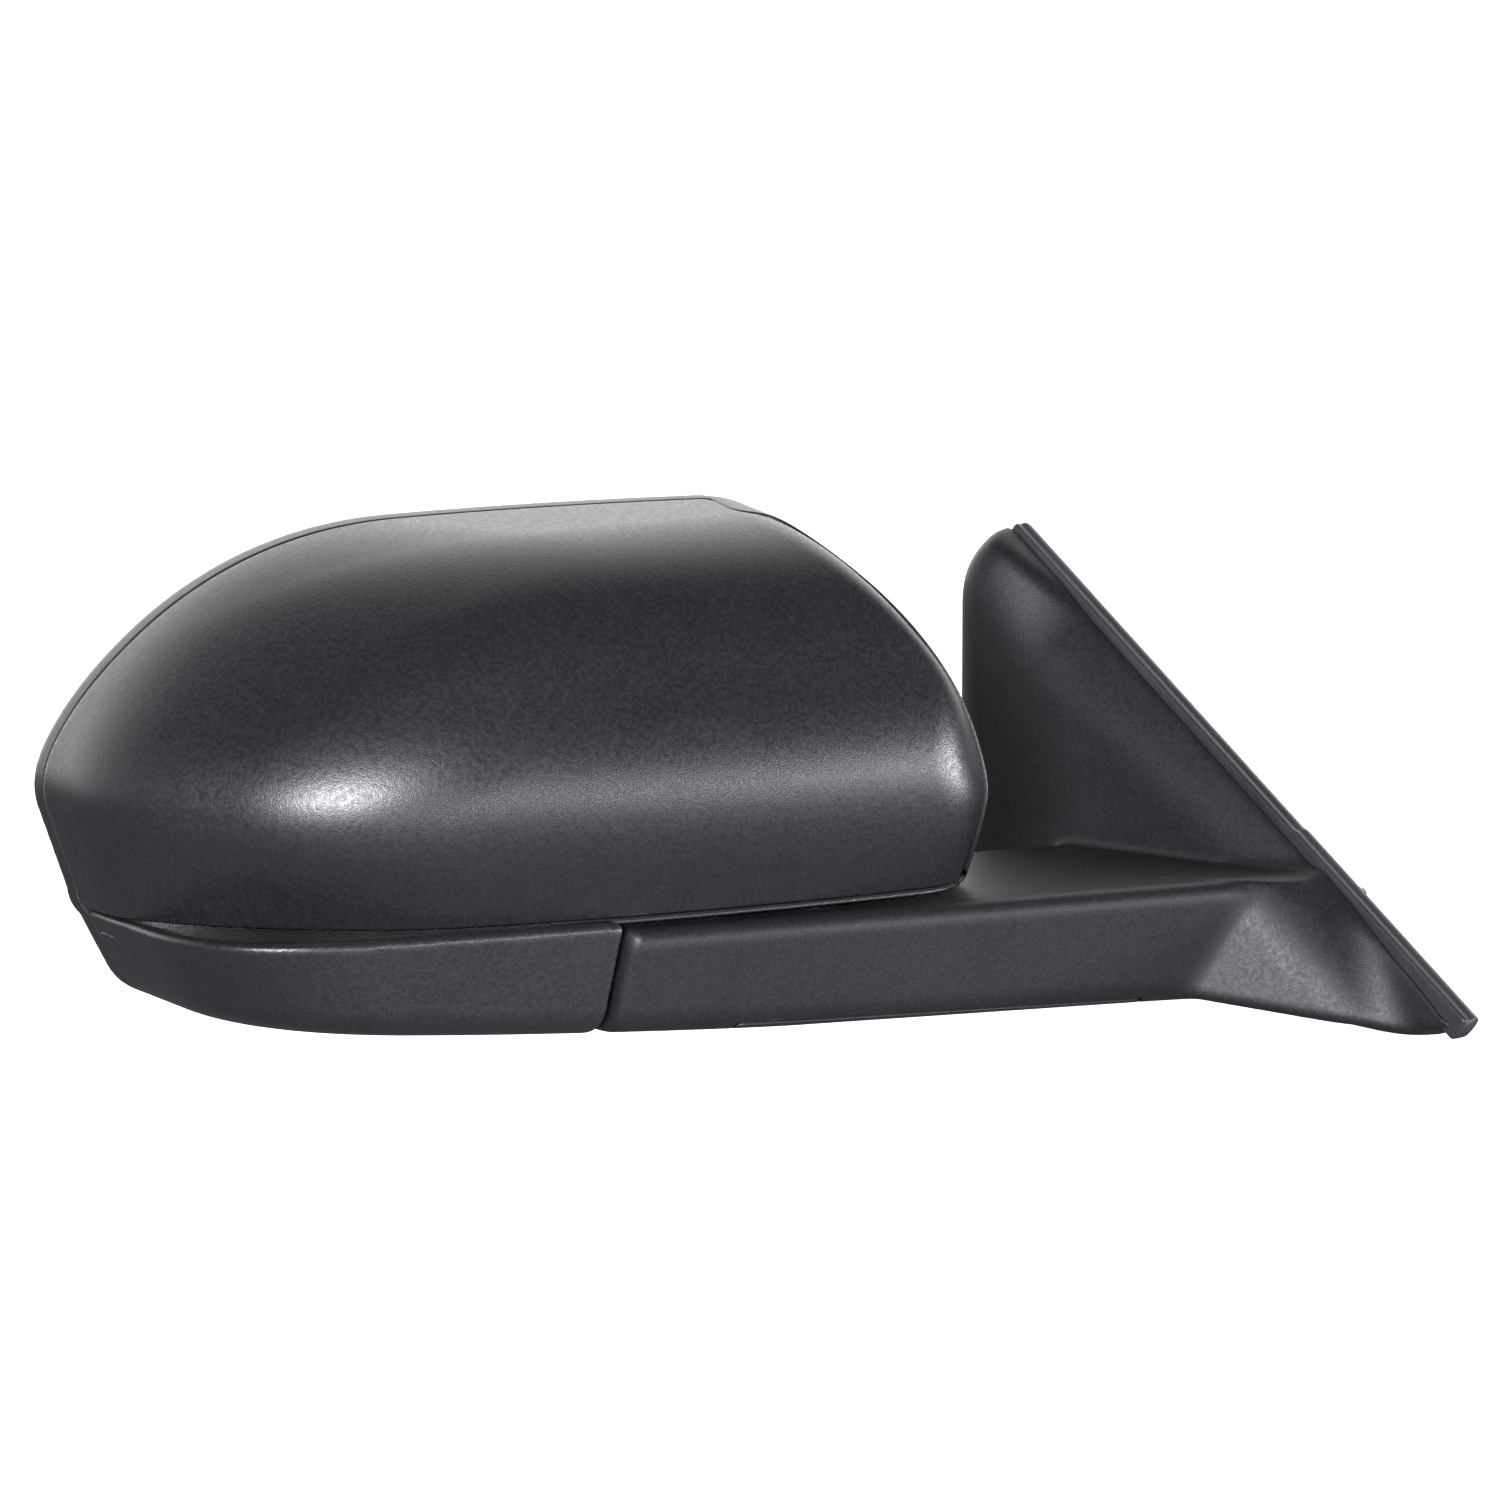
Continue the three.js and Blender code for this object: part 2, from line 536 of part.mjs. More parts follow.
function lowerCover() {
  const outer = coverSolid(COVER_TOP - 0.2, 0, 0, FINE);
  const inner = coverSolid(COVER_TOP + OVERRUN, WALL, -OVERRUN, COARSE);
  let cover = outer.subtract(inner).intersect(FRONT_REGION);
  for (const site of COVER_SCREWS) {
    cover = cover.add(rodZ(5, site, undersideZ(site[0]) + 1, 20, 12))
      .subtract(rodZ(3.9, site, -10, 14, 12))
      .subtract(rodZ(1.9, site, 10, 30, 10));
  }
  return cover;
}
const coverScrew = (site) => screw(
  { headRadius: 3.4, headHeight: 2.4, shankRadius: 1.4, length: 15.8 }, vec(...site, 11.2));

// ================================================================ sail and arm
// sail seen from the side: y, z, corner radius
const SAIL_OUTLINE = [
  [-95, -6.7, 1], [-82, -9.4, 6], [60, -8, 20], [89, -3, 14],
  [94.5, 40, 0], [94.5, 115, 12], [84.5, 125.7, 2],
];
const sailOutline = (inset) => rounded(
  offset(SAIL_OUTLINE, -inset)
    .map(([y, z], i) => [y, z, Math.max(SAIL_OUTLINE[i][2] - inset, 0)]), 3);
// Frame of the sloping edge: x, outward normal, distance down from its top to the front tip
const SLOPE_MATRIX = basis(X_AXIS, vec(0, -0.5934, 0.805), vec(0, -0.805, -0.5934))
  .setPosition(0, SAIL_OUTLINE[6][0], SAIL_OUTLINE[6][1]);
const slopeBar = (x0, x1, normal0, normal1) =>
  solid(alongZ(rect(x0, x1, normal0, normal1), -20, 250), SLOPE_MATRIX);
// bevel along the sloping edge, deeper at the top: three points of its plane
const BEVEL_POINTS = [vec(-22.1, 54.3, 85.3), vec(-6.5, -95, -6.7), vec(-16, -16.5, 35.8)];

// large block beyond a plane, for cutting
function beyond(point, normal) {
  const unit = normal.clone().normalize();
  const centre = point.clone().addScaledVector(unit, 200);
  return solid(new THREE.BoxGeometry(900, 900, 400), aim(Z_AXIS, unit, centre));
}
function beyondBevel(inset) {
  const [first, second, third] = BEVEL_POINTS;
  const normal = second.clone().sub(first).cross(third.clone().sub(first)).normalize();
  if (normal.x > 0) normal.negate();
  return beyond(first.clone().addScaledVector(normal, -inset), normal);
}
// sail trimmed by the bevel, the main face and the chamfer between that face and the rear edge
function sailSolid({ edge, bevel, face }, x0, x1) {
  const chamferPoint = vec(-22.6 + 0.7 * face, 91.6 - 0.7 * face, 60);
  return prismX(sailOutline(edge), x0, x1)
    .subtract(beyondBevel(bevel))
    .subtract(beyond(vec(-SAIL_T + face, 89, 60), vec(-1, -0.085, 0)))
    .subtract(beyond(chamferPoint, vec(-1, 1, 0)));
}
const outboardOf = (x) => box(-500, x, -300, 300, -200, 300);

// arm as a tube of rings across the head frame's out axis
function armTube(growth) {
  const [START, END, STEPS, SIDE_COUNT] = [-165, 92, 7, 22];
  const points = [];
  const triangles = [];
  const field = (out, fore, z) => armField(out, fore, z) - growth;
  for (let i = 0; i <= STEPS; i++) {
    const centre = vec(START + (END - START) * i / STEPS, -2, 16);
    for (let j = 0; j < SIDE_COUNT; j++) {
      const angle = 2 * Math.PI * j / SIDE_COUNT;
      // rays bunch towards the ends of the wide, low section
      const direction = vec(0, Math.cos(angle), Math.sin(angle) * 0.42).normalize();
      points.push(surfacePoint(field, centre, direction));
    }
  }
  const last = STEPS * SIDE_COUNT;
  const startCap = points.push(vec(START, -2, 12)) - 1;
  const endCap = points.push(vec(END, -2, 12)) - 1;
  for (let j = 0; j < SIDE_COUNT; j++) {
    const next = (j + 1) % SIDE_COUNT;
    for (let ring = 0; ring < last; ring += SIDE_COUNT) {
      const [a, b] = [ring + j, ring + next];
      triangles.push([a, a + SIDE_COUNT, b + SIDE_COUNT], [a, b + SIDE_COUNT, b]);
    }
    triangles.push([startCap, j, next], [endCap, last + next, last + j]);
  }
  return solid(closedMesh(points, triangles));
}
// arm with its round outboard end, in the root frame
function armSolid(inset) {
  const end = arc(ARM_END_R - inset, -Math.PI / 2, Math.PI / 2, 36, FOLD_CENTRE);
  const plan = [[-240, -90], [-1, -90], ...end, [-1, 95], [-240, 95]];
  return inHead(armTube(-inset).intersect(prismZ(plan, -40, 80)));
}
// gusset between arm and sail: x, y, z of its corners, then their move per unit of inset
const GUSSET = [
  [-32.9, -33.3, 31.8, 1, 1, -1], [-46.8, -19, -1.6, 1, 1, 1], [-15.1, -68, -5.5, 1, 1.5, 0],
  [-12.3, -73.2, -9.8, 1, 2, 1], [1, -36, 30, 0, 1, -1], [1, -80, -9.2, 0, 2.5, 1],
  [1, 20, -5, 0, 0, 1], [-46, 12, -1, 1, 0, 1], [-30, 0, 28, 1, 0, 0],
];
const gusset = (inset) => solid(new ConvexGeometry(GUSSET.map(
  ([x, y, z, dx, dy, dz]) => vec(x + dx * inset, y + dy * inset, z + dz * inset))));
// opening under the arm (out, fore)
const UNDER_OPENING = [[-96, -34], [40, -34], [56, -8], [57, 20], [46, 28], [-96, 28]];
const SAIL_INSET = { edge: 3.4, bevel: 3, face: WALL };
const INBOARD_LIMIT = -8;         // the arm's cavity stops at this x

// arm and sail, one moulding
function baseHousing() {
  const outer = sailSolid({ edge: 0, bevel: 0, face: 0 }, -40, 0)
    .add(armSolid(0)).add(gusset(0)).intersect(outboardOf(-1.4));
  const inner = sailSolid(SAIL_INSET, -60, 2).subtract(slopeBar(-12, 3, -7, 5))
    .add(armSolid(WALL).intersect(outboardOf(INBOARD_LIMIT))).add(gusset(2.4));
  return outer.subtract(inner)
    .subtract(slopeBar(-8.3, 2, -3.9, 5))
    .subtract(headPrism(UNDER_OPENING, -20, 12))
    .subtract(headPrism(circle(21.4, 36, FOLD_CENTRE), 20, 60));
}
// plate that fills the opening, with a raised lip inside
function armBottomCover() {
  let cover = armSolid(0).intersect(headPrism(offset(UNDER_OPENING, -0.4), -20, 3.2))
    .subtract(armSolid(2.4).intersect(headPrism(offset(UNDER_OPENING, -3), -20, 20)));
  for (const [out, fore] of BOTTOM_SCREWS) {
    const { x, y } = headPoint(out, fore, 0);
    cover = cover.add(rodZ(4.6, [x, y], undersideZ(out) + 1, 6.5, 10))
      .subtract(rodZ(2.1, [x, y], -10, 20, 10))
      .subtract(rodZ(3.8, [x, y], -10, screwSeatZ(out) + 2.6, 12));
  }
  return cover;
}
const bottomScrew = (site) => screw(
  { headRadius: 3.4, headHeight: 2.2, shankRadius: 1.5, length: 14 },
  vec(...site, screwSeatZ(site[0])));

// space inside the base moulding, less a clearance
function bracketSpace() {
  const inset = { edge: 4, bevel: SAIL_INSET.bevel + BRACKET_GAP, face: WALL + BRACKET_GAP };
  return sailSolid(inset, -60, 0)
    .subtract(slopeBar(-12 - BRACKET_GAP, 3, -7 - BRACKET_GAP, 5))
    .add(armSolid(WALL + BRACKET_GAP).intersect(outboardOf(INBOARD_LIMIT)))
    .add(inHead(foldRod(20.6, 5, 40, 40)));
}
// die-cast door plate, beam and pivot boss
function baseBracket() {
  const plate = rounded([[-62, -8, 2], [82, -8, 8], [82, 104, 5], [70, 106, 4]], 3);
  const beam = box(-152, -4, -12, 26, 12, 29).add(box(-152, -110, -12, 26, 8, 29));
  // upright ribs from the beam to the plate
  const rib = (height, y0, y1) => solid(alongY([[-5, 27], [-19, 27], [-5, height]], y0, y1));
  let bracket = prismX(plate, -6, 0)
    .add(inHead(beam).intersect(outboardOf(-2)))
    .add(inHead(foldRod(20, 12, 31.2, 28)))
    .add(rib(92, 65, 70)).add(rib(60, 3, 8))
    // beam cavity, post bore and counterbore, cable slot
    .subtract(inHead(box(-146, -26, -7, 21, 0, 24)).intersect(outboardOf(-9)))
    .subtract(inHead(foldRod(POST_BORE_R, 0, 40, 24)))
    .subtract(inHead(foldRod(15.4, 0, 14.6, 24)))
    .subtract(inHead(box(-30, 0, 2, 14, 0, 24)))
    .subtract(box(-26, -6.3, 8, 34, 8, 34));
  for (const site of STUDS) {
    bracket = bracket.subtract(rodX(STUD_R + 0.3, site, -30, 10, 20))
      .subtract(rodX(6.3, site, -60, -5, 6));
  }
  // bore for the second bottom cover screw
  const { x, y } = headPoint(...BOTTOM_SCREWS[1], 0);
  return bracket.subtract(rodX(11, HARNESS_HOLE, -30, 10, 28))
    .subtract(rodZ(1.9, [x, y], 0, 16, 12))
    .intersect(bracketSpace());
}
// stud with a reduced tip and a six-sided head
const mountingStud = (site) => rodX(STUD_R, site, -6, STUD_OUT - 1, 20)
  .add(rodX(STUD_R - 0.8, site, STUD_OUT - 1.2, STUD_OUT, 20))
  .add(rodX(5.6, site, -8.4, -5.3, 6));

// gasket round the back of the sail
function sailGasket() {
  const sheet = prismX(sailOutline(0.6), -1.1, -0.05);
  return sheet.subtract(prismX(sailOutline(3.4), -3, 3))
    .subtract(slopeBar(-8.3, 2, -3.7, 5))
    .add(sheet.intersect(slopeBar(-5, 2, -6.8, -3.75)));
}
// strip in the moulding's rebate, with a lip over its edge; section: x, normal, corner radius
function sailEdgeSeal() {
  const section = rounded([
    [-7.9, -3.4, 0.3], [-0.2, -3.4, 0.3], [0, -0.4, 0.8],
    [-2.5, 1.4, 0.8], [-6.4, 1.7, 0.9], [-7.9, 0.4, 0.5],
  ], 2);
  return alongZ(section, 1.5, 220).applyMatrix4(SLOPE_MATRIX);
}

// ================================================================ fold pivot
// profiles: radius from the fold axis, z
const pivotPost = () => foldLathe([
  [8, 11.6], [15, 11.6], [15, 14.2], [POST_R, 14.3], [POST_R, 73.2],
  [10, 73.3], [10, 75.1], [POST_R, 75.2], [POST_R - 0.6, 77], [8, 77],
]);
const lowerDetentRing = () => foldLathe([
  [POST_BORE_R, 31.5], [19.5, 31.5], [19.5, 36.2], [17.6, 36.2],
  [17.6, 33.6], [14, 33.6], [14, 36.2], [POST_BORE_R, 36.2],
]);
const DETENT_PINS = [30, 150, 270].map((degrees) => [
  FOLD_CENTRE[0] + 15.8 * Math.cos(radians(degrees)),
  FOLD_CENTRE[1] + 15.8 * Math.sin(radians(degrees)),
]);
const detentPin = (site) => lathe(
  [[0, 34.1], [0.8, 34.4], [1.3, 35.1], [1.35, 39.1], [0, 39.1]], vec(...site, 0), Z_AXIS, 14);
function upperDetentRing() {
  let ring = solid(foldLathe([[POST_BORE_R, 37], [19.5, 37], [19.5, 41], [POST_BORE_R, 41]]));
  for (const site of DETENT_PINS) ring = ring.subtract(rodZ(1.65, site, 30, 39.4, 12));
  return ring;
}
// helical compression spring about the post
function foldSpring() {
  const COIL = { radius: 14.2, wire: 1.4, z0: 56.2, z1: 66.8, turns: 3.5 };
  const [STEPS, SIDE_COUNT] = [49, 6];
  const points = [];
  const triangles = [];
  for (let i = 0; i <= STEPS; i++) {
    const angle = 2 * Math.PI * COIL.turns * i / STEPS;
    const middleZ = COIL.z0 + (COIL.z1 - COIL.z0) * i / STEPS;
    for (const [radius, z] of circle(COIL.wire, SIDE_COUNT, [COIL.radius, middleZ])) {
      points.push(foldPoint(z).add(vec(radius * Math.cos(angle), radius * Math.sin(angle), 0)));
    }
  }
  const last = STEPS * SIDE_COUNT;
  for (let ring = 0; ring < last; ring += SIDE_COUNT) {
    for (let j = 0; j < SIDE_COUNT; j++) {
      const [a, b] = [ring + j, ring + (j + 1) % SIDE_COUNT];
      triangles.push([a, b, b + SIDE_COUNT], [a, b + SIDE_COUNT, a + SIDE_COUNT]);
    }
  }
  for (let j = 1; j + 1 < SIDE_COUNT; j++) {
    triangles.push([0, j + 1, j], [last, last + j, last + j + 1]);
  }
  return closedMesh(points, triangles);
}
const springRetainer = () => foldLathe(
  [[POST_BORE_R, 69], [16.4, 69], [16.4, 70.2], [14, 72.6], [POST_BORE_R, 72.6]]);
function retainingClip() {
  const [start, end] = [radians(30), radians(330)];
  const outer = arc(13.4, start, end, 28, FOLD_CENTRE);
  return alongZ([...outer, ...arc(10.4, end, start, 28, FOLD_CENTRE)], 73.55, 74.85);
}

// ================================================================ head frame
const PLATE_DEPTH = 47;           // actuator plate's face towards the glass
const PLATE_FOOT = -46.7;         // its lower edge, from the glass centre

// hub on the post, web and actuator plate
function headFrame() {
  let frame = foldRod(19.4, 41.3, 52.6, 28)
    .add(foldRod(17.4, 52.4, 54.4, 24))
    .add(box(8, 62, 5.8, 16, 41.3, 51.5));
  // lugs over the housing floor, and the bars that join them
  for (const site of HOUSING_SCREWS) frame = frame.add(rodZ(5.4, site, 38.8, 51, 20));
  frame = frame.add(box(42, 50, 2, 24, 44, 51))
    .add(box(42, 50, -10, 3, 44, 45.6))
    .add(box(-32, -8, 11, 19, 44, 50));
  const plate = rounded([
    [-54, PLATE_FOOT, 4], [46, PLATE_FOOT, 8], [46, 14, 10],
    [14, 36.5, 8], [-14, 36.5, 8], [-54, 0, 10],
  ], 2);
  const ribDepth = PLATE_DEPTH + 3;
  frame = frame.add(opticPrism(plate, PLATE_DEPTH, PLATE_DEPTH + 3.6))
    .add(opticPrism(rect(-54, 46, PLATE_FOOT, -43.2), ribDepth, PLATE_DEPTH + 13))
    .add(opticPrism(rect(-20, -16, -46.6, 26), ribDepth, PLATE_DEPTH + 9))
    .add(opticPrism(rect(20, 24, -46.6, 24), ribDepth, PLATE_DEPTH + 9))
    .subtract(foldRod(POST_R + 0.5, 30, 80, 24))
    .subtract(opticPrism(circle(12, 24, [2, 0]), PLATE_DEPTH - 5, PLATE_DEPTH + 22));
  for (const site of ACTUATOR_SCREWS) {
    const hole = rodY(2.1, site, PLATE_DEPTH - 4, PLATE_DEPTH + 20, 14);
    frame = frame.subtract(place(hole, OPTIC_MATRIX));
  }
  for (const site of HOUSING_SCREWS) frame = frame.subtract(rodZ(1.9, site, 30, 49, 10));
  return frame;
}
const housingScrew = (site) => screw(
  { headRadius: 3.8, headHeight: 1.5, neck: 0.2, shankRadius: 1.6, length: 12.9 },
  vec(...site, 35.1));

// ================================================================ tilt actuator, optic frame
const CASE_NEAR = 22;             // depth of the case's face towards the glass
const CASE_SEAM = 33;
const CASE_FAR = 46.6;
const CASE_R = 40;
const CASE_INNER_R = CASE_R - 2.2;
const CASE_FLOOR = 2.2;
const EAR_R = 12.5;               // middle of the gimbal ears, from the tilt centre
const EAR_HALF_T = 1.6;
const EAR_HALF_W = 3.2;

// rod that runs out from the tilt centre
function spoke(axis, side, radius, from, to, segments) {
  const at = (distance) => vec(0, GIMBAL_DEPTH, 0).addScaledVector(axis, side * distance);
  return rod(radius, at(from), at(to), segments);
}
const ringY = (profile) => solid(lathe(profile, vec(0, 0, 0), Y_AXIS, 24));

// half of the case nearest the glass
function actuatorFront() {
  let front = ringY([
    [0, CASE_NEAR], [CASE_R - 2, CASE_NEAR], [CASE_R, CASE_NEAR + 2], [CASE_R, CASE_SEAM],
    [CASE_INNER_R, CASE_SEAM], [CASE_INNER_R, CASE_NEAR + CASE_FLOOR],
    [0, CASE_NEAR + CASE_FLOOR],
  ]);
  for (const side of SIDES) {
    const [x0, x1] = [side * EAR_R - EAR_HALF_T, side * EAR_R + EAR_HALF_T];
    front = front.add(box(x0, x1, 13.6, CASE_NEAR + 1, -EAR_HALF_W, EAR_HALF_W))
      .subtract(spoke(X_AXIS, side, 1.85, 9, 17, 12));
  }
  for (const site of Object.values(JACKS)) front = front.subtract(rodY(2.6, site, 15, 30, 12));
  for (const site of ACTUATOR_SCREWS) {
    front = front.add(rodY(4, site, CASE_NEAR + 1, CASE_SEAM, 12))
      .subtract(rodY(1.6, site, CASE_NEAR + 4, CASE_SEAM + 4, 12));
  }
  return front;
}
// half of the case furthest from the glass
function actuatorRear() {
  const seam = CASE_SEAM + 0.4;
  let rear = ringY([
    [0, CASE_FAR], [CASE_R - 1, CASE_FAR], [CASE_R, CASE_FAR - 1], [CASE_R, seam],
    [CASE_INNER_R, seam], [CASE_INNER_R, CASE_FAR - CASE_FLOOR], [0, CASE_FAR - CASE_FLOOR],
  ]);
  for (const site of ACTUATOR_SCREWS) {
    rear = rear.add(rodY(4, site, seam, CASE_FAR - 1, 12))
      .subtract(rodY(2, site, CASE_SEAM, CASE_FAR + 4, 12));
  }
  return rear.subtract(rodY(5.4, [2, 0], CASE_FAR - 4, CASE_FAR + 4, 12));
}
// depth profile: the head is the far end
const actuatorScrew = ([x, z]) => lathe(
  [[0, 27], [1.3, 28], [1.3, 50.9], [3.6, 50.9], [3.6, 53.2], [0, 53.2]],
  vec(x, 0, z), Y_AXIS, 10);
// motor lying across the case, its shaft pointing along `axis`
const tiltMotor = ([x, z], axis) => lathe([
  [0, -12], [5.6, -12], [6, -11.4], [6, 9], [2.2, 9.2],
  [2.2, 11], [0.8, 11.1], [0.8, 15], [0, 15],
], vec(x, 38, z), axis, 20);

function driveGear([x, z]) {
  const TEETH = 14;
  const TOOTH = [[8, 0], [9.2, 0.3], [9.2, 0.7]]; // radius, fraction of the pitch
  const outline = Array.from({ length: TEETH }, (_, i) => TOOTH.map(([radius, part]) => {
    const angle = 2 * Math.PI * (i + part) / TEETH;
    return [x + radius * Math.cos(angle), z + radius * Math.sin(angle)];
  })).flat();
  return alongY(outline, 25.2, 29.6, [circle(2.6, 18, [x, z])]);
}
// ball-ended screw; profile: radius, depth
function jackScrew([x, z]) {
  const BALL = { radius: 2.5, depth: 14.2 };
  const ball = arc(BALL.radius, radians(-90), radians(68), 5, [0, BALL.depth]);
  const profile = [[0, BALL.depth - BALL.radius], ...ball.slice(1), [1.5, 17.4], [2, 18]];
  for (let i = 0; i < 4; i++) {
    const foot = 22 + i * 3.6;
    profile.push([2.15, foot], [1.7, foot + 0.9], [1.7, foot + 1.8], [2.15, foot + 2.7]);
  }
  profile.push([1.9, 37.4], [0, 37.6]);
  return lathe(profile, vec(x, 0, z), Y_AXIS, 10);
}
// ring with four pins
function tiltGimbal() {
  let ring = ringY([[6.4, 14.4], [9.6, 14.4], [9.6, 17.6], [6.4, 17.6]]);
  for (const side of SIDES) {
    for (const axis of [X_AXIS, Z_AXIS]) {
      ring = ring.add(spoke(axis, side, 1.45, 8.4, 14.6, 10));
    }
  }
  return ring;
}

// ================================================================ glass and carrier, optic frame
const LAYER_GAP = 0.3;
const GLASS_BACK = GLASS_DEPTH + GLASS_T;
const PAD_NEAR = GLASS_BACK + LAYER_GAP;
const PAD_FAR = PAD_NEAR + 0.5;
const CARRIER_NEAR = PAD_FAR + LAYER_GAP;
const CARRIER_FAR = CARRIER_NEAR + 2.4;

function glassBackplate() {
  const outline = offset(GLASS_OUTLINE, 1.5);
  // rim that holds the glass edge
  const rim = solid(alongY(outline, GLASS_DEPTH + 0.5, CARRIER_NEAR + 1))
    .subtract(solid(alongY(offset(GLASS_OUTLINE, 0.4), GLASS_DEPTH - 2, CARRIER_NEAR)));
  let plate = solid(alongY(outline, CARRIER_NEAR, CARRIER_FAR)).add(rim);
  for (const side of SIDES) {
    const [z0, z1] = [side * EAR_R - EAR_HALF_T, side * EAR_R + EAR_HALF_T];
    plate = plate.add(box(-EAR_HALF_W, EAR_HALF_W, CARRIER_FAR - 1, 18.4, z0, z1))
      .subtract(spoke(Z_AXIS, side, 1.85, 9, 17, 12));
  }
  // sockets for the jack screws' balls
  for (const site of Object.values(JACKS)) {
    plate = plate.add(rodY(5.4, site, CARRIER_FAR - 1, 16.6, 20))
      .subtract(rodY(3.5, site, CARRIER_FAR + 0.4, 20, 12));
  }
  // stiffening ring
  const [foot, top] = [CARRIER_FAR - 0.5, CARRIER_FAR + 2.2];
  return plate.add(ringY([[38, foot], [40, foot], [40, top], [38, top]]));
}

// ================================================================ wiring
const PLUG_POSITION = [46.5, 31, 8];

// from the post, through the arm and the door plate, down to the plug
function harnessCable() {
  // head frame: out, fore, z
  const armPart = [
    [0, 8, 27], [0, 8, 18], [-0.8, 8, 12], [-5, 8, 7.6], [-15, 8, 6.6],
    [-30, 8, 9.5], [-55, 8, 16.5], [-90, 7, 18], [-118, 4, 18.5],
  ];
  // root frame: x, y, z
  const doorPart = [
    [-17, 16, 24], [-12.2, 24, 34.5], [-12.2, 29, 44.8], [-9, 30, 47.8], [0, 30, 48],
    [14, 30, 48], [32, 30.5, 45], [43, 31, 37], [46.3, 31, 27], [46.5, 31, 13],
  ];
  const path = [...armPart.map((p) => headPoint(...p)), ...doorPart.map((p) => vec(...p))];
  return cable(path, 2.8, 30);
}
const harnessGrommet = () => lathe([
  [3.7, -8], [8, -8], [10.6, -6.2], [10.6, -0.3], [9.6, 3], [5.6, 6], [3.7, 6],
], vec(0, ...HARNESS_HOLE), X_AXIS, 20);
// block with a rib on its rear side, a socket below and a cable hole above
const connectorPlug = () => box(-9, 9, -6, 6, -13, 13)
  .add(box(-3, 3, 5, 8.4, -8, 8))
  .subtract(box(-7, 7, -4, 4, -14, 4))
  .subtract(rodZ(3.1, [0, 0], 4, 20, 10));
// from the post to the middle of the head; head frame
const headHarness = () => cable([
  [0, 8, 30.5], [0, 8, 60], [0, 8, 80], [8, 11, 93], [30, 19, 97],
  [60, 24, 94], [78, 22, 90], [83, 13, 88], [83.4, 7, 88], [83.1, 1.5, 88],
].map((p) => vec(...p)), 2.6, 22);

// ================================================================ assembly
const root = new THREE.Group();
const head = new THREE.Group();
head.applyMatrix4(HEAD_MATRIX);
root.add(head);
const optic = new THREE.Group();
optic.applyMatrix4(OPTIC_MATRIX);
head.add(optic);

function add(group, name, shape, material) {
  const geometry = shape instanceof Manifold ? geometryOf(shape) : clean(shape);
  const mesh = new THREE.Mesh(geometry, new THREE.MeshStandardMaterial(material));
  mesh.name = name;
  group.add(mesh);
  return mesh;
}
// one numbered piece for each site
const addEach = (group, name, sites, make, material) =>
  sites.forEach((site, i) => add(group, `${name}_${i + 1}`, make(site), material));

add(head, 'skull_cap', skullCap(), GRAINED);
add(head, 'rear_housing', rearHousing(), BLACK);
add(head, 'lower_cover', lowerCover(), GRAINED);
addEach(head, 'lower_cover_screw', COVER_SCREWS, coverScrew, ZINC);

add(root, 'base_housing', baseHousing(), GRAINED);
add(root, 'arm_bottom_cover', armBottomCover(), BLACK);
addEach(head, 'bottom_cover_screw', BOTTOM_SCREWS, bottomScrew, ZINC);
add(root, 'base_bracket', baseBracket(), CAST);
addEach(root, 'mounting_stud', STUDS, mountingStud, ZINC);
add(root, 'sail_gasket', sailGasket(), RUBBER);
add(root, 'sail_edge_seal', sailEdgeSeal(), RUBBER);

add(head, 'pivot_post', pivotPost(), STEEL);
add(head, 'lower_detent_ring', lowerDetentRing(), DARK_STEEL);
addEach(head, 'detent_pin', DETENT_PINS, detentPin, STEEL);
add(head, 'upper_detent_ring', upperDetentRing(), DARK_STEEL);
add(head, 'fold_spring', foldSpring(), STEEL);
add(head, 'spring_retainer', springRetainer(), ZINC);
add(head, 'retaining_clip', retainingClip(), DARK_STEEL);
add(head, 'head_frame', headFrame(), BLACK);
addEach(head, 'housing_screw', HOUSING_SCREWS, housingScrew, ZINC);

add(optic, 'actuator_front', actuatorFront(), BLACK);
add(optic, 'actuator_rear', actuatorRear(), BLACK);
addEach(optic, 'actuator_screw', ACTUATOR_SCREWS, actuatorScrew, ZINC);
add(optic, 'tilt_motor_v', tiltMotor([-8, -17], X_AXIS), STEEL);
add(optic, 'tilt_motor_h', tiltMotor([14, 13], vec(-1, 0, 0)), STEEL);
for (const [key, site] of Object.entries(JACKS)) {
  add(optic, `drive_gear_${key}`, driveGear(site), WHITE);
  add(optic, `jack_screw_${key}`, jackScrew(site), WHITE);
}
add(optic, 'tilt_gimbal', tiltGimbal(), WHITE);
add(optic, 'mirror_glass', alongY(GLASS_OUTLINE, GLASS_DEPTH, GLASS_BACK), MIRROR);
add(optic, 'heater_pad', alongY(offset(GLASS_OUTLINE, -7), PAD_NEAR, PAD_FAR), HEATER);
add(optic, 'glass_backplate', glassBackplate(), BLACK);

add(root, 'harness_cable', harnessCable(), RUBBER);
add(root, 'harness_grommet', harnessGrommet(), RUBBER);
add(root, 'connector_plug', connectorPlug(), BLACK).position.set(...PLUG_POSITION);
add(head, 'head_harness', headHarness(), RUBBER);

export default root;
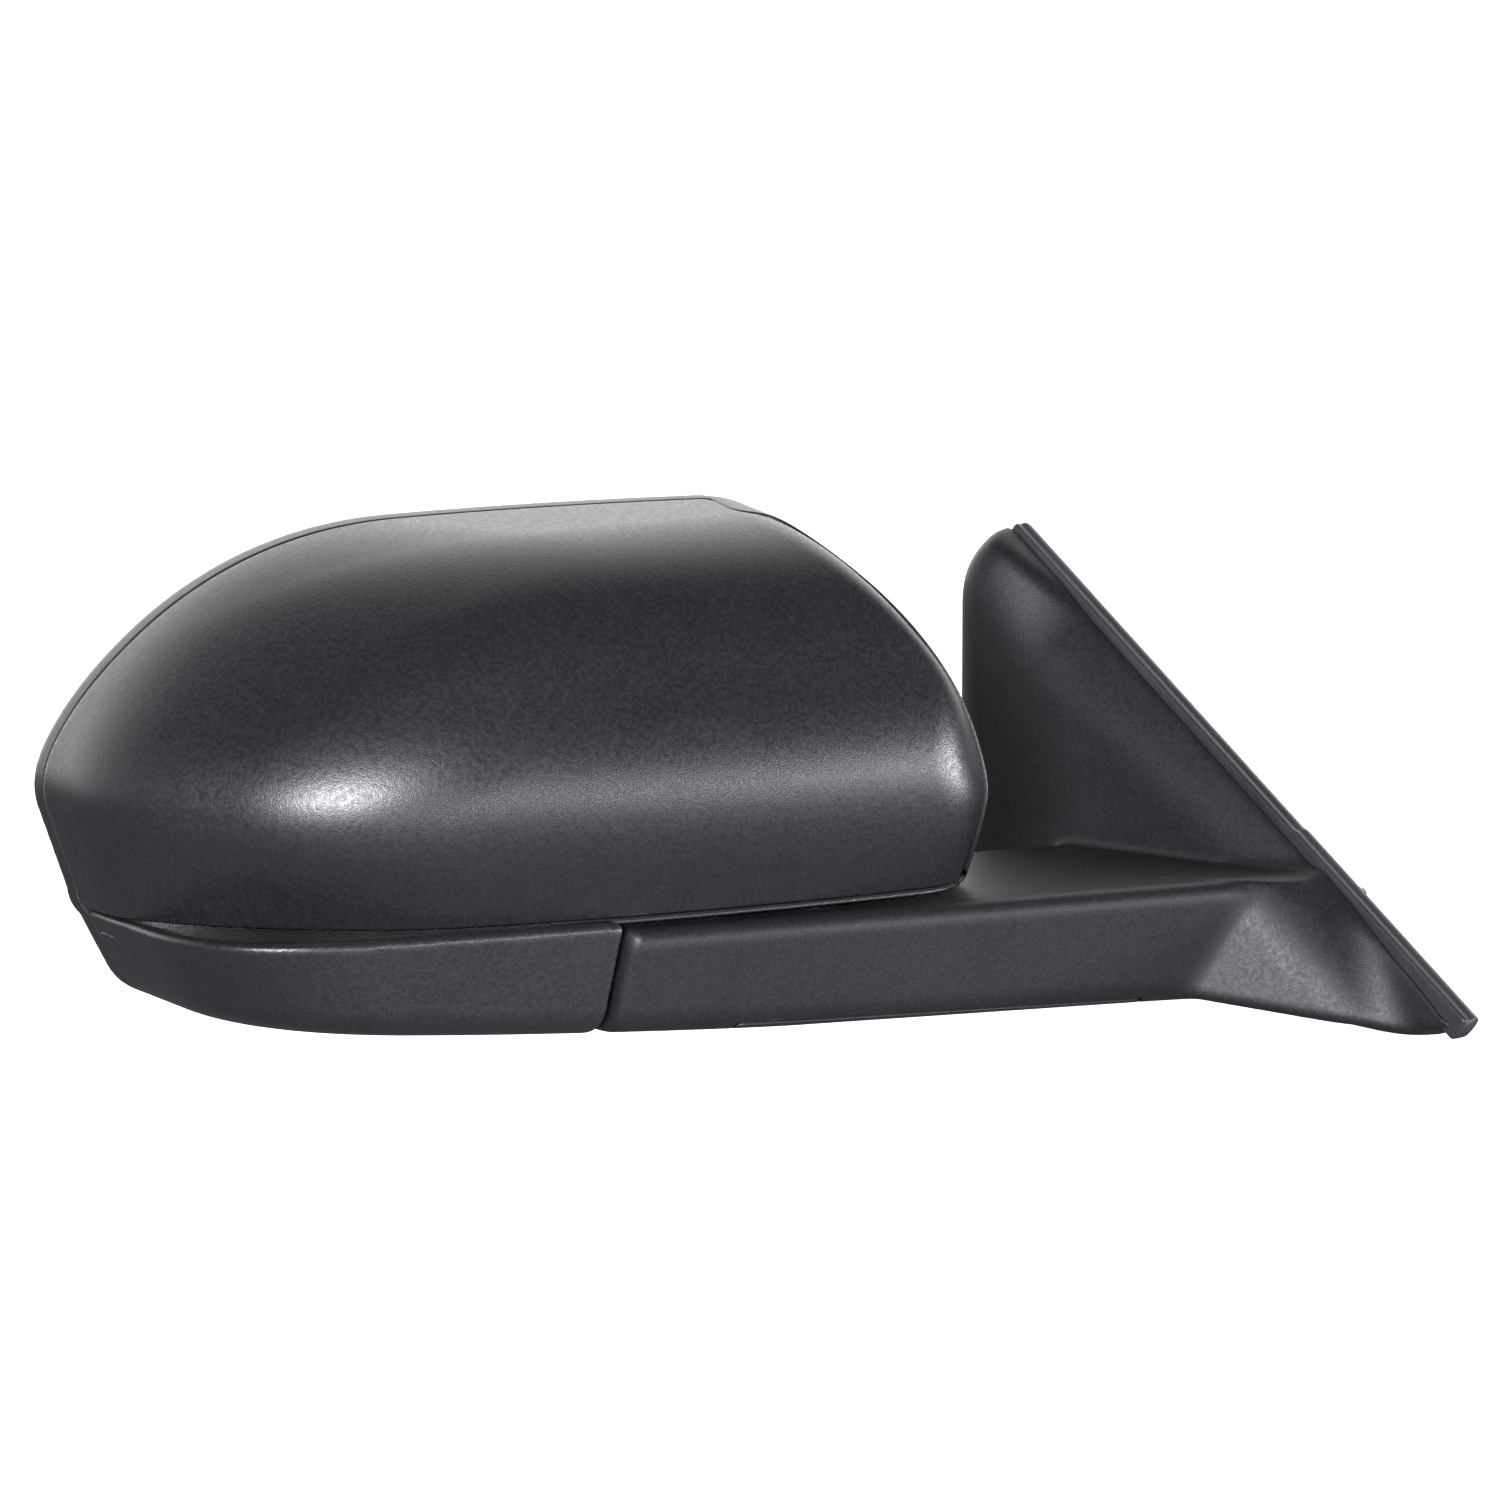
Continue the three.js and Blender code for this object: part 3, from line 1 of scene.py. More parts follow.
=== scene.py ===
# Car side mirror: outer panels, glass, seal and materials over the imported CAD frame.
# In the world the door side is near x = 0, the head reaches towards -x, the front is -y
# and up is +z. Shapes are worked out in mm and turned into metres when meshed.
import bpy
import json
import math
import numpy as np
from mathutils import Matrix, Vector


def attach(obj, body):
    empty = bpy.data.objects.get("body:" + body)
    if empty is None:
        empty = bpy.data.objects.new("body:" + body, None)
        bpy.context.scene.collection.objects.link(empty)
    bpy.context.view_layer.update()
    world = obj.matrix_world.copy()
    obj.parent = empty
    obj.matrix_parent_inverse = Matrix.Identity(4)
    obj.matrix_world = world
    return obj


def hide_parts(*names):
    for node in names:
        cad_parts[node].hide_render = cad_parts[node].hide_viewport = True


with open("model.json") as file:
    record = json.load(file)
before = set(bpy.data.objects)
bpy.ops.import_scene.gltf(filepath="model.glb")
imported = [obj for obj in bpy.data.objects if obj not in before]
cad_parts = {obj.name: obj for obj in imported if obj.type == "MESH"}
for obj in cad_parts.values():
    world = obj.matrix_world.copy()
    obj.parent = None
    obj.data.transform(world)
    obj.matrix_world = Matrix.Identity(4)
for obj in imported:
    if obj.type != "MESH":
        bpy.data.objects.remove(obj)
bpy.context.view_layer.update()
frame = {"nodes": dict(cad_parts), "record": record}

# ---------------------------------------------------------------- frames and driving sizes (mm)
# Head frame (out, fwd, z): out runs away from the door and fwd to the front,
# both turned by SWEEP about the vertical.
SWEEP = math.radians(20.0)
HEAD_ORIGIN = np.array([-143.5, 50.0, 0.0])
OUT_AXIS = np.array([-math.cos(SWEEP), math.sin(SWEEP), 0.0])
FWD_AXIS = np.array([-math.sin(SWEEP), -math.cos(SWEEP), 0.0])
UP_AXIS = np.array([0, 0, 1.0])

# Rim frame (along, depth, z): along the rear opening, forward of it, and up from GLASS_Z.
RIM_TILT = math.radians(4.0)
RIM_OUT, RIM_FWD = 78.0, -43.2
GLASS_Z = 88.0

PIVOT_FWD = 8.0                 # the pivot axis stands at out = 0
ARM_R, COVER_R = 70.0, 73.0     # round the pivot: end of the arm, start of the lower cover
FLOOR_Z, CAP_Z, COVER_Z = 34.9, 36.6, 36.1
RIM_DEPTH, SPLIT_OUT = 9.0, 8.0  # where the rear housing meets the skull cap
HALF_SEAM = 0.2
LEAN_FWD = -52                  # the sides of the head lean from this place forward
PIVOT_HOLE_R = 21.4


def head_to_world(points):
    return (HEAD_ORIGIN + points[:, :1] * OUT_AXIS + points[:, 1:2] * FWD_AXIS
            + points[:, 2:3] * UP_AXIS)


def world_to_head(x, y):
    dx, dy = x - HEAD_ORIGIN[0], y - HEAD_ORIGIN[1]
    return dx * OUT_AXIS[0] + dy * OUT_AXIS[1], dx * FWD_AXIS[0] + dy * FWD_AXIS[1]


def rim_depth(out, fwd):
    return (out - RIM_OUT) * math.sin(RIM_TILT) + (fwd - RIM_FWD) * math.cos(RIM_TILT)


def rim_along(out, fwd):
    return (out - RIM_OUT) * math.cos(RIM_TILT) - (fwd - RIM_FWD) * math.sin(RIM_TILT)


def rim_to_world(points):
    along, depth, z = points.T
    return head_to_world(np.stack([
        RIM_OUT + along * math.cos(RIM_TILT) + depth * math.sin(RIM_TILT),
        RIM_FWD - along * math.sin(RIM_TILT) + depth * math.cos(RIM_TILT),
        GLASS_Z + z], 1))


def same_place(points):
    return points


# ---------------------------------------------------------------- field tools
# A field is negative inside its solid and close to a distance in mm near its skin.
def smax(a, b, width):
    """Maximum with the corner rounded over a blend width."""
    overlap = np.clip(width - np.abs(a - b), 0, None) / width
    return np.maximum(a, b) + overlap * overlap * width * 0.25


def smin(a, b, width):
    return -smax(-a, -b, width)


def ease(start, end, x):
    """Goes smoothly from 0 at start to 1 at end."""
    t = np.clip((x - start) / (end - start), 0, 1)
    return t * t * (3 - 2 * t)


def face(u, v, line):
    """Field of a flat face; line holds its normal (u, v) and a point on it (u, v)."""
    return line[0] * (u - line[2]) + line[1] * (v - line[3])


def polygon_field(polygon, x, y):
    """Signed distance to a closed polygon."""
    squared = np.full(x.shape, 1e9)
    inside = np.zeros(x.shape, bool)
    for (ax, ay), (bx, by) in zip(polygon, np.roll(polygon, -1, axis=0)):
        ex, ey = bx - ax, by - ay
        t = np.clip(((x - ax) * ex + (y - ay) * ey) / (ex * ex + ey * ey), 0, 1)
        squared = np.minimum(squared, (x - ax - t * ex) ** 2 + (y - ay - t * ey) ** 2)
        rise = by - ay if by != ay else 1e-12
        inside ^= ((ay > y) != (by > y)) & (x < ex * (y - ay) / rise + ax)
    return np.where(inside, -1, 1) * np.sqrt(squared)


def pivot_radius(out, fwd):
    return np.hypot(out, fwd - PIVOT_FWD)


# ---------------------------------------------------------------- head and arm skins
# Faces for face(): normal (u, z), point (u, z)
FRONT_UPPER = (0.91, 0.414, 0, 72)
FRONT_LOWER = (0.875, -0.484, 0, 72)
HEAD_TOP = (0.111, 0.994, 0, 0)
OUTER_UPPER = (0.803, 0.596, 173.9, 126)
OUTER_MIDDLE = (0.812, 0.584, 212.4, 88)
OUTER_LOWER = (0.948, -0.319, 200.3, 47)
INNER_SIDE = (-0.97, -0.16, -64.3, 55)
BAR_FRONT = (0.97, -0.243, 0, 32)
COVER_SIDE_UPPER = (0.925, -0.379, 203.2, 47)
COVER_SIDE_LOWER = (0.878, -0.478, 196.9, 35)

# Superellipse of the head's shoulder on the door side: centre and radii (out, z)
SHOULDER_OUT, SHOULDER_Z = 7.7, 62.5
SHOULDER_RADIUS_OUT, SHOULDER_RADIUS_Z = 67.7, 86.2
SHOULDER_POWER = 1.31

# Seam between skull cap and rear housing on the door side: (fwd, z)
SPLIT_LINE = np.array([
    (19, 30), (22, 36), (27, 48), (30.5, 62), (32, 80), (32, 95), (29, 107), (25, 116),
    (19, 124), (11, 131), (-2, 138), (-14, 144), (-24, 156)], float)
split_curve = np.polyfit(SPLIT_LINE[:, 1] / 100, SPLIT_LINE[:, 0], 6)


def split_fwd(z):
    return np.polyval(split_curve, np.clip(z, 30, 156) / 100)


def shoulder_field(out, z):
    across = np.clip(SHOULDER_OUT - out, 0, None) / SHOULDER_RADIUS_OUT
    up = np.clip(z - SHOULDER_Z, 0, None) / SHOULDER_RADIUS_Z
    power = SHOULDER_POWER
    total = across ** power + up ** power + 1e-9
    slope = total ** (1 / power - 1) * np.hypot(
        across ** (power - 1) / SHOULDER_RADIUS_OUT, up ** (power - 1) / SHOULDER_RADIUS_Z) + 1e-4
    return np.clip((total ** (1 / power) - 1) / slope, -80, 80)


def head_field(out, fwd, z):
    lean = fwd - LEAN_FWD
    from_arc = fwd - (57 - (out - 60) ** 2 / 1210)
    front = smax(face(from_arc, z, FRONT_UPPER), face(from_arc, z, FRONT_LOWER), 21)
    roof_z = 147.3 - 2.7e-4 * np.clip(out, 0, None) ** 2
    top = face(lean, z - roof_z, HEAD_TOP)
    outer = out + 0.115 * lean
    side = smax(smax(face(outer, z, OUTER_MIDDLE), face(outer, z, OUTER_LOWER), 19.5),
                face(outer, z, OUTER_UPPER), 10)
    body = smax(smax(front, top, 28), side, 45 + 35 * ease(-40, 20, fwd))
    inner = out - 0.06 * lean
    door_side = smax(shoulder_field(inner, z), face(inner, z, INNER_SIDE), 12)
    return smax(body, door_side, 6 + 16 * ease(105, 70, z))


def bottom_z(out):
    return (-0.6 - 0.021 * np.clip(5 - out, 0, None)
            + 9.6 * (np.clip(out - 5, 0, 250) / 155) ** 1.275)


def bar_front(out, fwd, z):
    """Front face that the arm and the lower cover share."""
    return face(fwd - (40.5 - np.clip(out - 90, 0, None) ** 2 / 1200), z, BAR_FRONT)


def cover_field(out, fwd, z):
    """Lower cover, with a round cut-out about the pivot for the arm."""
    outer = out + 0.094 * (fwd - LEAN_FWD)
    side = smax(face(outer, z, COVER_SIDE_UPPER), face(outer, z, COVER_SIDE_LOWER), 8)
    body = smax(smax(bar_front(out, fwd, z), side, 36), bottom_z(out) - z, 8)
    return smax(body, COVER_R - pivot_radius(out, fwd), 3.2)


def arm_field(out, fwd, z):
    body = smax(smax(bar_front(out, fwd, z), -44 - fwd, 14), bottom_z(out) - z, 8)
    return smax(body, z - 33.4, 6.5)


# ---------------------------------------------------------------- meshing a field
def unit(vectors):
    return vectors / np.maximum(np.linalg.norm(vectors, axis=1, keepdims=True), 1e-6)


def tangent(vectors, normal):
    return vectors - (vectors * normal).sum(1, keepdims=True) * normal


def gradient(field, points, eps=1e-2):
    x, y, z = points.T
    return np.stack([(field(x + dx, y + dy, z + dz) - field(x - dx, y - dy, z - dz)) / (2 * eps)
                     for dx, dy, dz in eps * np.eye(3)], 1)


def to_surface(field, points, cell):
    """One Newton step towards field = 0, no longer than 0.6 of a cell."""
    value = field(*points.T)
    slope = gradient(field, points)
    move = (value / np.maximum((slope ** 2).sum(1), 0.05))[:, None] * slope
    length = np.linalg.norm(move, axis=1, keepdims=True)
    return points - move * np.minimum(1, 0.6 * cell / np.maximum(length, 1e-9))


def cell_points(values, inside, cells):
    """Mean of the places where the field crosses the edges of each cell, in cell units."""
    total = np.zeros((len(cells), 3))
    crossings = np.zeros(len(cells))
    for axis in range(3):
        direction = (np.arange(3) == axis).astype(int)
        for second in (0, 1):
            for first in (0, 1):
                start = np.insert([first, second], axis, 0)
                v0 = values[tuple((cells + start).T)]
                v1 = values[tuple((cells + start + direction).T)]
                crossed = (v0 < 0) != (v1 < 0)
                t = np.where(crossed, v0 / np.where(v0 == v1, 1, v0 - v1), 0)[:, None]
                total += (start + t * direction) * crossed[:, None]
                crossings += crossed
    return cells + total / crossings[:, None]


def cell_quads(inside, index, size):
    """A quad round each grid edge that crosses the skin, facing out of the solid."""
    quads = []
    for axis in range(3):
        u, v = (axis + 1) % 3, (axis + 2) % 3
        edges = np.argwhere(np.diff(inside, axis=axis))
        edges = edges[(edges[:, u] > 0) & (edges[:, v] > 0)
                      & (edges[:, u] < size[u] - 1) & (edges[:, v] < size[v] - 1)]
        starts_inside = inside[tuple(edges.T)]
        corners = []
        for du, dv in ((0, 0), (1, 0), (1, 1), (0, 1)):
            cell = edges.copy()
            cell[:, u] -= du
            cell[:, v] -= dv
            corners.append(index[tuple(cell.T)])
        quad = np.stack(corners, 1)
        quad[~starts_inside] = quad[~starts_inside][:, ::-1]
        quads.append(quad)
    return np.concatenate(quads)


def surface_net(field, low, high, cell, rounds=5):
    """Even quads over the skin of a field within a box."""
    low, high = np.array(low, float), np.array(high, float)
    size = np.ceil((high - low) / cell).astype(int) + 1
    axes = [low[k] + cell * np.arange(size[k]) for k in range(3)]
    values = np.empty(size, np.float32)
    for i in range(0, size[0], 24):     # in slices, to spare memory
        values[i:i + 24] = field(*np.meshgrid(axes[0][i:i + 24], *axes[1:], indexing="ij"))
    inside = values < 0
    nx, ny, nz = size - 1
    corners_in = sum(inside[i:nx + i, j:ny + j, k:nz + k].astype(np.int8)
                     for i in (0, 1) for j in (0, 1) for k in (0, 1))
    active = (corners_in > 0) & (corners_in < 8)
    index = -np.ones(active.shape, np.int64)
    index[active] = np.arange(active.sum())
    points = low + cell_points(values, inside, np.argwhere(active)) * cell
    quads = cell_quads(inside, index, size)
    neighbours = 2 * np.bincount(quads.ravel(), minlength=len(points))[:, None]
    for _ in range(rounds):
        points = to_surface(field, points, cell)
        # relax towards the neighbours, so that the quads stay even
        total = np.zeros_like(points)
        for i in range(4):
            np.add.at(total, quads[:, i], points[quads[:, (i + 1) % 4]])
            np.add.at(total, quads[:, i], points[quads[:, (i + 3) % 4]])
        points = np.where(neighbours > 0,
                          0.5 * points + 0.5 * total / np.maximum(neighbours, 1), points)
    return to_surface(field, to_surface(field, points, cell), cell), quads


def clip_quads(points, quads, values):
    """Keeps the part of the quads with values < 0; the cut points follow the old points."""
    values = np.where(np.abs(values) < 1e-4, -1e-4, values)
    inside = values < 0
    count = inside[quads].sum(1)
    faces = [tuple(quad) for quad in quads[count == 4].tolist()]
    cuts, cut_points = {}, []
    for quad in quads[(count > 0) & (count < 4)].tolist():
        polygon = []
        for start, end in zip(quad, quad[1:] + quad[:1]):
            if inside[start]:
                polygon.append(start)
            if inside[start] != inside[end]:
                p, q = key = (min(start, end), max(start, end))
                if key not in cuts:
                    t = values[p] / (values[p] - values[q])
                    cuts[key] = len(points) + len(cut_points)
                    cut_points.append(points[p] * (1 - t) + points[q] * t)
                polygon.append(cuts[key])
        faces.append(tuple(polygon))
    return np.concatenate([points, np.array(cut_points).reshape(-1, 3)]), faces


def edge_frame(surface, region, points):
    """Skin normal, and the direction in the skin that leaves the region."""
    normal = unit(gradient(surface, points))
    return normal, tangent(gradient(region, points), normal)


def settle_on_line(surface, region, points, roll, cell):
    """Moves the cut points onto both the skin and the line region = -roll."""
    for _ in range(3):
        points = to_surface(surface, points, cell)
        _, outward = edge_frame(surface, region, points)
        squared = np.maximum((outward ** 2).sum(1), 0.1)
        distance = (region(*points.T) + roll) / squared
        points = points - np.clip(distance, -cell, cell)[:, None] * outward
    return to_surface(surface, points, cell)


def border_edges(faces, first_cut):
    """Open edges that lie on the cut line."""
    open_edges = {}
    for corners in faces:
        for edge in zip(corners, corners[1:] + corners[:1]):
            if edge[::-1] in open_edges:
                del open_edges[edge[::-1]]
            else:
                open_edges[edge] = True
    return [edge for edge in open_edges if min(edge) >= first_cut]


def edge_profile(roll, depth, steps=5):
    """Rolled edge as (outward, along the normal): a quarter round, then straight in."""
    angles = [math.pi / 2 * i / steps for i in range(1, steps + 1)]
    profile = [(roll * math.sin(angle), -roll * (1 - math.cos(angle))) for angle in angles]
    return profile + [(roll, -roll - (depth - roll) * 0.5), (roll, -depth)]


def panel(surface, region, low, high, cell, roll, depth):
    """Sheet of surface = 0 where region < 0, its edges rolled and turned in by depth."""
    points, quads = surface_net(surface, low, high, cell)
    values = region(*points.T)
    quads = quads[(values[quads] < 4 * cell).any(1)]
    first_cut = len(points)
    points, faces = clip_quads(points, quads, values + roll)
    points[first_cut:] = settle_on_line(surface, region, points[first_cut:], roll, cell)

    edges = border_edges(faces, first_cut)
    border = sorted({start for start, _ in edges})
    place = {vertex: i for i, vertex in enumerate(border)}
    starts = np.array([place[start] for start, _ in edges])
    ends = np.array([place[end] for _, end in edges])
    line = points[border]
    normal, outward = edge_frame(surface, region, line)
    outward = unit(outward)
    for _ in range(3):      # even out the directions along the line
        total = outward.copy()
        np.add.at(total, starts, outward[ends])
        np.add.at(total, ends, outward[starts])
        outward = unit(tangent(total, normal))

    previous, rows, count = np.array(border), [points], len(points)
    for out_by, up_by in edge_profile(roll, depth):
        rows.append(line + outward * out_by + normal * up_by)
        current = count + np.arange(len(border))
        count += len(border)
        faces += [(previous[j], previous[i], current[i], current[j])
                  for i, j in zip(starts, ends)]
        previous = current
    return np.concatenate(rows), faces


def ring_faces(first, second, count):
    """Quads between two closed rings of points, given their first indices."""
    return [(first + i, first + (i + 1) % count, second + (i + 1) % count, second + i)
            for i in range(count)]


replaced_nodes = set()


def make(name, parts, body, material, replaces, to_world=head_to_world):
    """One object from (points, faces) parts in mm; points without a face are left out."""
    vertices, polygons, offset = [], [], 0
    for points, faces in parts:
        used = np.zeros(len(points), bool)
        for corners in faces:
            used[list(corners)] = True
        renumber = np.cumsum(used) - 1
        vertices.append(to_world(points[used]) / 1000.0)
        polygons += [tuple(int(renumber[i]) + offset for i in corners) for corners in faces]
        offset += int(used.sum())
    mesh = bpy.data.meshes.new(name)
    mesh.from_pydata(np.concatenate(vertices).tolist(), [], polygons)
    mesh.validate()
    mesh.update()
    mesh.polygons.foreach_set("use_smooth", [True] * len(mesh.polygons))
    ob = bpy.data.objects.new(name, mesh)
    bpy.context.scene.collection.objects.link(ob)
    mesh.materials.append(material)
    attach(ob, body)
    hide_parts(replaces)
    replaced_nodes.add(replaces)


# ---------------------------------------------------------------- node trees
class Tree:
    """Builds nodes whose inputs are given as values or as sockets to link."""
    def __init__(self, owner):
        owner.use_nodes = True
        self.tree = owner.node_tree
        self.tree.nodes.clear()

    def put(self, node, inputs):
        for key, value in inputs.items():
            if isinstance(value, bpy.types.NodeSocket):
                self.tree.links.new(value, node.inputs[key])
            else:
                node.inputs[key].default_value = value

    def node(self, kind, inputs={}, **settings):
        node = self.tree.nodes.new(kind)
        for key, value in settings.items():
            setattr(node, key, value)
        self.put(node, inputs)
        return node

    def math(self, operation, first, second):
        return self.node("ShaderNodeMath", {0: first, 1: second}, operation=operation).outputs[0]

    def remap(self, value, target, source=(0.3, 0.7), **settings):
        inputs = {"From Min": source[0], "From Max": source[1],
                  "To Min": target[0], "To Max": target[1], "Value": value}
        return self.node("ShaderNodeMapRange", inputs, **settings).outputs[0]


class Shader(Tree):
    """A material with a Principled shader on its output."""
    def __init__(self, name):
        self.material = bpy.data.materials.new(name)
        super().__init__(self.material)
        self.output = self.node("ShaderNodeOutputMaterial")
        self.principled = self.node("ShaderNodeBsdfPrincipled")
        self.put(self.output, {0: self.principled.outputs[0]})
        self.coords = self.node("ShaderNodeTexCoord").outputs["Object"]

    def noise(self, scale, detail, roughness, vector=None):
        inputs = {"Scale": scale, "Detail": detail, "Roughness": roughness,
                  "Vector": vector or self.coords}
        return self.node("ShaderNodeTexNoise", inputs).outputs["Fac"]

    def weighted(self, *terms):
        """Sum of (socket, weight) terms."""
        total = None
        for socket, weight in terms:
            term = self.math("MULTIPLY", socket, weight)
            total = self.math("ADD", total, term) if total else term
        return total

    def ramp(self, value, *stops):
        """Colour ramp through (position, colour) stops."""
        node = self.node("ShaderNodeValToRGB", {"Fac": value})
        elements = node.color_ramp.elements
        while len(elements) > 1:
            elements.remove(elements[-1])
        elements[0].position = stops[0][0]
        elements[0].color = (*stops[0][1], 1)
        for position, colour in stops[1:]:
            elements.new(position).color = (*colour, 1)
        return node.outputs[0]

    def mix_colour(self, factor, first, second):
        return self.node("ShaderNodeMix", {0: factor, 6: first, 7: second},
                         data_type="RGBA").outputs[2]

    def bump(self, height, strength, distance, **more):
        inputs = {"Strength": strength, "Distance": distance, "Height": height, **more}
        return self.node("ShaderNodeBump", inputs).outputs[0]

    def finish(self, inputs):
        self.put(self.principled, inputs)
        return self.material


# ---------------------------------------------------------------- materials
def grained(name, dark, light, rough, grain, cell, specular=0.5):
    """Moulded plastic with an etched grain, paler on its sharp convex edges."""
    shader = Shader(name)
    cells = shader.node("ShaderNodeTexVoronoi", {"Scale": cell, "Vector": shader.coords},
                        feature="DISTANCE_TO_EDGE").outputs["Distance"]
    fine = shader.noise(scale=cell * 0.55, detail=4, roughness=0.6)
    medium = shader.noise(scale=60, detail=3, roughness=0.5)
    broad = shader.noise(scale=9, detail=2, roughness=0.5)
    pits = shader.remap(cells, source=(0.0, 0.35), target=(0.0, 1.0))
    height = shader.weighted((pits, 0.22), (fine, 0.9))
    tone = shader.weighted((fine, 0.55), (medium, 0.25), (broad, 0.2))
    middle = tuple((a + b) / 2 for a, b in zip(dark, light))
    colour = shader.ramp(tone, (0.36, dark), (0.5, middle), (0.66, light))
    pointiness = shader.node("ShaderNodeNewGeometry").outputs["Pointiness"]
    # sharp convex edges, found by pointiness, are mixed towards a paler colour
    edge_pale_mask = shader.remap(pointiness, source=(0.54, 0.62), target=(0.0, 0.35))
    edge_pale_colour = (*[min(1, c * 2.2 + 0.01) for c in light], 1)
    grain_bump = shader.bump(height, strength=0.55, distance=grain)
    return shader.finish({
        "Base Color": shader.mix_colour(edge_pale_mask, colour, edge_pale_colour),
        "Roughness": shader.remap(fine, target=(rough - 0.06, rough + 0.08)),
        "Specular IOR Level": specular,
        "Normal": shader.bump(broad, strength=0.05, distance=0.0005, Normal=grain_bump)})


def mottled(shader, fine, coarse, fine_share, stops, rough, bump, metallic, specular=0.5):
    """Colour from a fine and a coarse noise; rough and bump are ready sockets."""
    tone = shader.weighted((fine, fine_share), (coarse, 1 - fine_share))
    return shader.finish({
        "Base Color": shader.ramp(tone, *stops), "Roughness": rough, "Normal": bump,
        "Metallic": metallic, "Specular IOR Level": specular})


def satin(name, dark, light, rough, scale, bump_depth, specular=0.5, metallic=0.0):
    shader = Shader(name)
    fine = shader.noise(scale=scale, detail=4, roughness=0.6)
    coarse = shader.noise(scale=25, detail=3, roughness=0.5)
    return mottled(
        shader, fine, coarse, fine_share=0.5, stops=((0.38, dark), (0.62, light)),
        rough=shader.remap(coarse, target=(rough - 0.06, rough + 0.09)),
        bump=shader.bump(fine, strength=0.5, distance=bump_depth),
        metallic=metallic, specular=specular)


def brushed(name, dark, light, rough):
    """Steel with fine streaks along its z axis."""
    shader = Shader(name)
    streaks = shader.node("ShaderNodeMapping", {"Scale": (900, 900, 30),
                                                "Vector": shader.coords}).outputs[0]
    fine = shader.noise(scale=1.0, detail=4, roughness=0.65, vector=streaks)
    coarse = shader.noise(scale=40, detail=3, roughness=0.5)
    return mottled(
        shader, fine, coarse, fine_share=0.6, stops=((0.35, dark), (0.65, light)),
        rough=shader.remap(fine, target=(rough - 0.07, rough + 0.12)),
        bump=shader.bump(fine, strength=0.35, distance=0.00004), metallic=1.0)


def cast(name, dark, light):
    shader = Shader(name)
    fine = shader.noise(scale=420, detail=6, roughness=0.7)
    coarse = shader.noise(scale=30, detail=4, roughness=0.6)
    return mottled(
        shader, fine, coarse, fine_share=0.5, stops=((0.36, dark), (0.62, light)),
        rough=shader.remap(fine, target=(0.42, 0.62)),
        bump=shader.bump(fine, strength=0.7, distance=0.00025), metallic=0.25, specular=0.3)


def mirror(name, dark, light):
    shader = Shader(name)
    tint = shader.noise(scale=3.0, detail=2, roughness=0.5)
    haze = shader.noise(scale=35, detail=4, roughness=0.6)
    return shader.finish({
        "Base Color": shader.ramp(tint, (0.3, dark), (0.7, light)), "Metallic": 1.0,
        "Roughness": shader.remap(haze, source=(0.4, 0.75), target=(0.02, 0.06)),
        "Coat Weight": 0.5, "Coat Roughness": 0.02})


# name: (maker, dark colour, light colour, settings); grain and bump depths in metres
RECIPES = {
    "grained_plastic": (grained, (0.0085, 0.0085, 0.0105), (0.0150, 0.0148, 0.0175),
                        dict(rough=0.36, grain=0.000135, cell=1350, specular=0.6)),
    # the arm and sail's copy of the grained plastic: rougher and less specular, with darker
    # colours as painted shade
    "grained_base": (grained, (0.0075, 0.0075, 0.0092), (0.0132, 0.0130, 0.0155),
                     dict(rough=0.47, grain=0.00012, cell=1450, specular=0.40)),
    "black_plastic": (grained, (0.009, 0.009, 0.0105), (0.018, 0.018, 0.021),
                      dict(rough=0.40, grain=0.00005, cell=2600)),
    "seal_rubber": (satin, (0.022, 0.022, 0.025), (0.036, 0.036, 0.041),
                    dict(rough=0.45, scale=900, bump_depth=0.00005)),
    "black_rubber": (satin, (0.010, 0.010, 0.011), (0.024, 0.024, 0.026),
                     dict(rough=0.72, scale=900, bump_depth=0.00008, specular=0.35)),
    "cast_alloy": (cast, (0.040, 0.041, 0.043), (0.085, 0.086, 0.089), {}),
    "spring_steel": (brushed, (0.36, 0.36, 0.37), (0.58, 0.58, 0.60), dict(rough=0.28)),
    "dark_steel": (brushed, (0.07, 0.07, 0.075), (0.16, 0.165, 0.17), dict(rough=0.42)),
    "plated_steel": (brushed, (0.48, 0.47, 0.42), (0.68, 0.67, 0.62), dict(rough=0.34)),
    "white_plastic": (satin, (0.56, 0.54, 0.48), (0.70, 0.68, 0.62),
                      dict(rough=0.40, scale=300, bump_depth=0.00003)),
    "heater_film": (satin, (0.20, 0.17, 0.12), (0.34, 0.30, 0.24),
                    dict(rough=0.35, scale=250, bump_depth=0.00003, metallic=0.4)),
    "mirror": (mirror, (0.80, 0.83, 0.85), (0.86, 0.885, 0.90), {}),
}
materials = {name: maker(name, dark, light, **settings)
             for name, (maker, dark, light, settings) in RECIPES.items()}


# ---------------------------------------------------------------- skull cap
def cap_region(out, fwd, z):
    flank = smin(SPLIT_OUT + HALF_SEAM - out, split_fwd(z) + HALF_SEAM - fwd, 6)
    rim = RIM_DEPTH + HALF_SEAM - rim_depth(out, fwd)
    return smax(smax(CAP_Z - z, rim, 3), flank, 3)


cap = panel(head_field, cap_region, (-75, -56, 28), (215, 66, 156), cell=1.5, roll=0.8, depth=2.6)
make("skull_cap_shell", [cap], "head", materials["grained_plastic"],
     replaces="skull_cap")

# ---------------------------------------------------------------- lower cover
COVER_SCREWS = [(out, RIM_FWD - (out - RIM_OUT) * math.tan(RIM_TILT) + 19) for out in (112, 164)]
COVER_SCREW_R = 3.9


